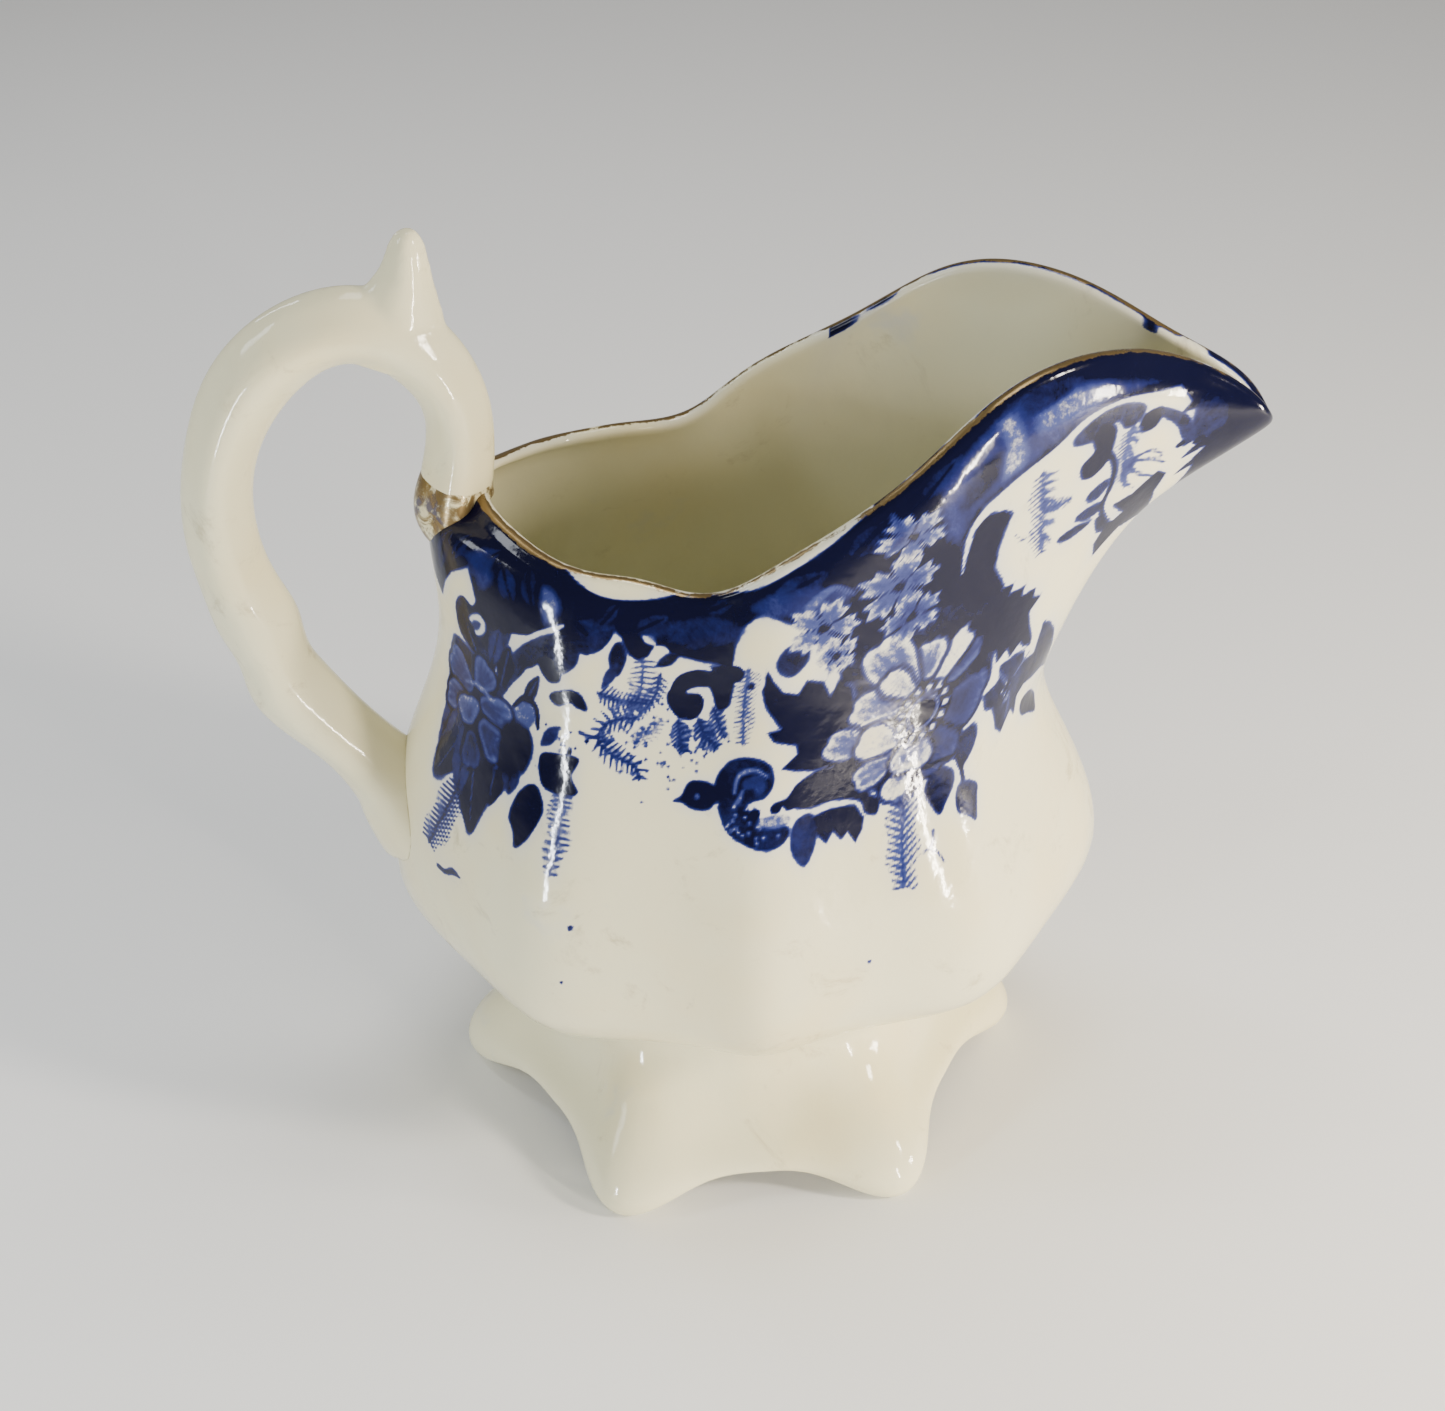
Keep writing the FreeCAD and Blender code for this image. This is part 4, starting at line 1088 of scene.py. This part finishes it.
class JUG_OT_foot(bpy.types.Operator):
    """Presses the hollow skirted foot with six toes"""
    bl_idname = "jug.foot"
    bl_label = "Skirted foot"

    def execute(self, context):
        turn = turns(FOOT_COLUMNS)
        toe = ((1 + np.cos(TOES * turn)) / 2) ** TOE_POINT
        net = np.array([oval(FOOT_COLUMNS, radius + (toe_radius - radius) * toe, share,
                             low + (toe_low - low) * toe)
                        for low, radius, toe_low, toe_radius, share in FOOT_ROWS])
        rows, count = FOOT_GRID
        points = spanned(net, even(FOOT_COLUMNS, count), np.linspace(0, len(net) - 1, rows))
        points[..., 2] = np.maximum(points[..., 2], 0)
        mesh = new_mesh("skirted_foot", points, ring_faces(rows, count))
        finish_piece(place(mesh, "skirted_foot"), white_glaze(), "white_glaze", "foot")
        return {"FINISHED"}


class JUG_OT_foot_slip(bpy.types.Operator):
    """Runs slip round the joint of foot and body"""
    bl_idname = "jug.foot_slip"
    bl_label = "Slip at the foot"

    def execute(self, context):
        bulge, thick = sizes().slip_bulge / MM, BODY_FLOOR - FOOT_TOP
        _, radius, _, _, share = FOOT_ROWS[0]
        reaches = [(radius + bulge * out, height) for out, height in SLIP_OUTSIDE]
        reaches += [(FOOT_ROWS[-1][1], height) for height in SLIP_INSIDE]
        net = np.array([oval(FOOT_COLUMNS, reach, share, FOOT_TOP + height * thick)
                        for reach, height in reaches])
        rows, count = SLIP_GRID
        points = spanned(net, even(FOOT_COLUMNS, count), np.linspace(0, len(net) - 1, rows))
        mesh = new_mesh("foot_slip", points, ring_faces(rows, count))
        finish_piece(place(mesh, "foot_slip"), white_glaze(), "slip_glaze", "foot_joint")
        return {"FINISHED"}


def bar_net(sections, extras):
    """Rows of points round a bent bar; extras is how far each section stands out beyond it."""
    sections = np.array(sections)
    path = sections[:, :2]
    way = np.empty_like(path)
    way[1:-1] = path[2:] - path[:-2]
    way[0], way[-1] = path[1] - path[0], path[-1] - path[-2]
    way /= np.linalg.norm(way, axis=1)[:, None]
    turn = turns(HANDLE_COLUMNS)
    crest = HANDLE_GIRTH + HANDLE_CREST * np.cos(HANDLE_CRESTS * turn)
    rows = []
    for (x, z, depth, width), (dx, dz), extra in zip(sections, way, extras):
        across = (depth / 2 + extra) * crest * np.cos(turn)
        rows.append(np.stack([x + dz * across, (width / 2 + extra) * crest * np.sin(turn),
                              z - dx * across], -1))
    return np.array(rows)


def bar_points(sections, extras, grid):
    """The fine points of a closed bar."""
    net, (rows, count) = bar_net(sections, extras), grid
    return spanned(net, even(HANDLE_COLUMNS, count), np.linspace(0, len(net) - 1, rows))


def evaluated_copy(piece):
    """The piece's mesh with its modifiers applied; the piece is removed."""
    graph = bpy.context.evaluated_depsgraph_get()
    mesh = bpy.data.meshes.new_from_object(piece.evaluated_get(graph))
    bpy.data.objects.remove(piece)
    return mesh


def plain(sections):
    """No extra girth."""
    return [0.0] * len(sections)


def joined_clay(bars):
    """One mesh of several closed bars that run into each other."""
    points, faces, start = [], [], 0
    for bar in bars:
        faces += [[start + k for k in face] for face in grid_faces(*bar.shape[:2])]
        points.append(bar.reshape(-1, 3))
        start += len(points[-1])
    return new_mesh("clay", np.vstack(points), faces)


def body_block():
    """The body's outer form filled up to the rim."""
    rim = moved_out(rim_line(), sizes().rim_wall / MM / 2, BLOCK_RIM_DROP)
    middle = np.array([0, 0, BLOCK_TOP])
    flat = rim * 0.1 + middle * 0.9
    flat[:, 2] = BLOCK_TOP
    net = np.array(outer_rows() + [rim, rim * 0.5 + middle * 0.5, flat])
    rows, count = BLOCK_GRID
    points = spanned(net, even(BODY_COLUMNS, count), np.linspace(0, len(net) - 1, rows))
    return new_mesh("body_block", points, grid_faces(rows, count))


def fitted(clay, name):
    """A named piece from clay, without what would reach into the body; the clay is used up."""
    block = place(body_block(), "body_block")
    cut = clay.modifiers.new("fit", "BOOLEAN")
    cut.operation, cut.solver, cut.object = "DIFFERENCE", "EXACT", block
    bpy.context.view_layer.update()
    mesh = evaluated_copy(clay)
    bpy.data.objects.remove(block)
    mesh.name = name
    mesh.polygons.foreach_set("use_smooth", [True] * len(mesh.polygons))
    mesh.materials.clear()
    return place(mesh, name)


class JUG_OT_handle(bpy.types.Operator):
    """Presses the scroll handle with its spur and slips its heel to the body"""
    bl_idname = "jug.handle"
    bl_label = "Scroll handle"

    def execute(self, context):
        heel = HANDLE_SECTIONS[-len(LOWER_COLLAR):]
        rough = place(joined_clay([
            bar_points(HANDLE_SECTIONS, plain(HANDLE_SECTIONS), HANDLE_GRID),
            bar_points(SPUR_SECTIONS, plain(SPUR_SECTIONS), SPUR_GRID),
            bar_points(heel, LOWER_COLLAR, HEEL_GRID)]), "handle_clay")
        remesh = rough.modifiers.new("blend", "REMESH")
        remesh.mode, remesh.voxel_size = "VOXEL", sizes().clay_grain
        smooth = rough.modifiers.new("sponge", "SMOOTH")
        smooth.factor, smooth.iterations = SPONGE_FACTOR, SPONGE_PASSES
        handle = fitted(place(evaluated_copy(rough), "handle_bar"), "scroll_handle")
        finish_piece(handle, white_glaze(), "white_glaze", "handle", "lower_handle_joint")
        return {"FINISHED"}


class JUG_OT_gilt_collar(bpy.types.Operator):
    """Lays the gilt collar of slip where the handle stands on the rim"""
    bl_idname = "jug.gilt_collar"
    bl_label = "Gilt collar"

    def execute(self, context):
        foot_of_bar = HANDLE_SECTIONS[:len(UPPER_COLLAR)]
        clay = place(joined_clay([bar_points(foot_of_bar, UPPER_COLLAR, COLLAR_GRID)]),
                     "collar_clay")
        collar = fitted(clay, "gilt_collar")
        finish_piece(collar, worn_gilt(), "gilt_glaze", "upper_handle_joint")
        return {"FINISHED"}


# ---- stage -----------------------------------------------------------------------------------------

def area_light(name, place_mm, size_mm, power, tone):
    """A soft lamp turned to the jug's middle."""
    data = bpy.data.lights.new(name, "AREA")
    data.shape, data.size, data.size_y = "RECTANGLE", size_mm[0] * MM, size_mm[1] * MM
    data.energy, data.color = power, tone
    lamp = bpy.data.objects.new(name, data)
    bpy.context.scene.collection.objects.link(lamp)
    lamp.location = Vector(place_mm) * MM
    way = (Vector(LAMP_AIM) - Vector(place_mm)).normalized()
    lamp.rotation_euler = way.to_track_quat("-Z", "Y").to_euler()


FLOOR_REACH = 2500.0    # half the floor's side, mm
LAMP_AIM = (0, 0, 55)   # mm
CAMERA_AIM = 0.398      # share of the jug's height
SENSOR, SHIFT, CLIP = 36.0, (-0.0107, 0.0356), (0.01, 20.0)
COOL, PLAIN, WARM = (0.90, 0.95, 1.0), (1.0, 1.0, 1.0), (1.0, 0.90, 0.76)
# name, place, width and height in mm, share of the key light's power, tone
LAMPS = (
    ("left_window", (-340, -45, 300), (50, 130), 0.6, COOL),
    ("right_window", (370, -190, 280), (45, 90), 3.8, WARM),
    ("ceiling", (20, 90, 560), (220, 200), 3.0, PLAIN),
    ("back_left", (-300, 260, 330), (30, 200), 0.7, COOL),
    ("right_strip", (184, -236, 50), (7, 94), 2.2, WARM),
    ("left_strip", (-225, -203, 50), (6, 94), 1.2, COOL),
    ("low_pane", (335, -112, 45), (40, 50), 2.2, WARM),
)


class JUG_OT_stage(bpy.types.Operator):
    """Sets the pale floor, the soft light and the camera"""
    bl_idname = "jug.stage"
    bl_label = "Stage"

    def execute(self, context):
        stage, scene = context.scene.jug_stage, context.scene
        corners = [(x * FLOOR_REACH, y * FLOOR_REACH, 0)
                   for x, y in ((-1, -1), (1, -1), (1, 1), (-1, 1))]
        floor = place(new_mesh("studio_floor", corners, [[0, 1, 2, 3]], smooth=False),
                      "studio_floor")
        floor.data.materials.append(floor_paint())
        world = bpy.data.worlds.new("studio")
        world.use_nodes = True
        backdrop = world.node_tree.nodes["Background"]
        backdrop.inputs["Color"].default_value = rgba(PLAIN)
        backdrop.inputs["Strength"].default_value = stage.sky
        scene.world = world
        for name, spot, size, share, tone in LAMPS:
            area_light(name, spot, size, stage.key * share, tone)
        self.camera(stage, scene)
        return {"FINISHED"}

    @staticmethod
    def camera(stage, scene):
        data = bpy.data.cameras.new("camera")
        camera = bpy.data.objects.new("camera", data)
        scene.collection.objects.link(camera)
        back = Vector((math.sin(stage.turn) * math.cos(stage.tilt),
                       -math.cos(stage.turn) * math.cos(stage.tilt), math.sin(stage.tilt)))
        target = Vector((0, 0, TALL * CAMERA_AIM * MM))
        camera.location = target + back * stage.distance
        aim = (-back).to_track_quat("-Z", "Y").to_matrix().to_4x4()
        turned = Matrix.Translation(camera.location) @ aim @ Matrix.Rotation(stage.roll, 4, "Z")
        camera.matrix_world = turned
        data.lens, data.sensor_width = stage.lens, SENSOR
        data.shift_x, data.shift_y = SHIFT
        data.clip_start, data.clip_end = CLIP
        scene.camera = camera


# ---- add-on ------------------------------------------------------------------------------------

STEPS = (JUG_OT_body, JUG_OT_foot, JUG_OT_foot_slip, JUG_OT_handle, JUG_OT_gilt_collar,
         JUG_OT_stage)


class JUG_PT_panel(bpy.types.Panel):
    """Lists the steps that make the jug"""
    bl_label = "Cream Jug"
    bl_idname = "JUG_PT_panel"
    bl_space_type = "VIEW_3D"
    bl_region_type = "UI"
    bl_category = "Cream Jug"

    def draw(self, context):
        for step in STEPS:
            self.layout.operator(step.bl_idname)
        for group in (context.scene.jug_sizes, context.scene.jug_colours, context.scene.jug_stage):
            box = self.layout.box()
            for name in group.__annotations__:
                box.prop(group, name)


GROUPS = {"jug_sizes": JugSizes, "jug_colours": JugColours, "jug_stage": JugStage}
CLASSES = (*GROUPS.values(), *STEPS, JUG_PT_panel)


def register():
    for made in CLASSES:
        bpy.utils.register_class(made)
    for name, group in GROUPS.items():
        setattr(bpy.types.Scene, name, PointerProperty(type=group))


def unregister():
    for name in GROUPS:
        delattr(bpy.types.Scene, name)
    for made in reversed(CLASSES):
        bpy.utils.unregister_class(made)


def main():
    register()
    for step in STEPS:
        group, name = step.bl_idname.split(".")
        getattr(getattr(bpy.ops, group), name)()


if __name__ == "__main__":
    main()
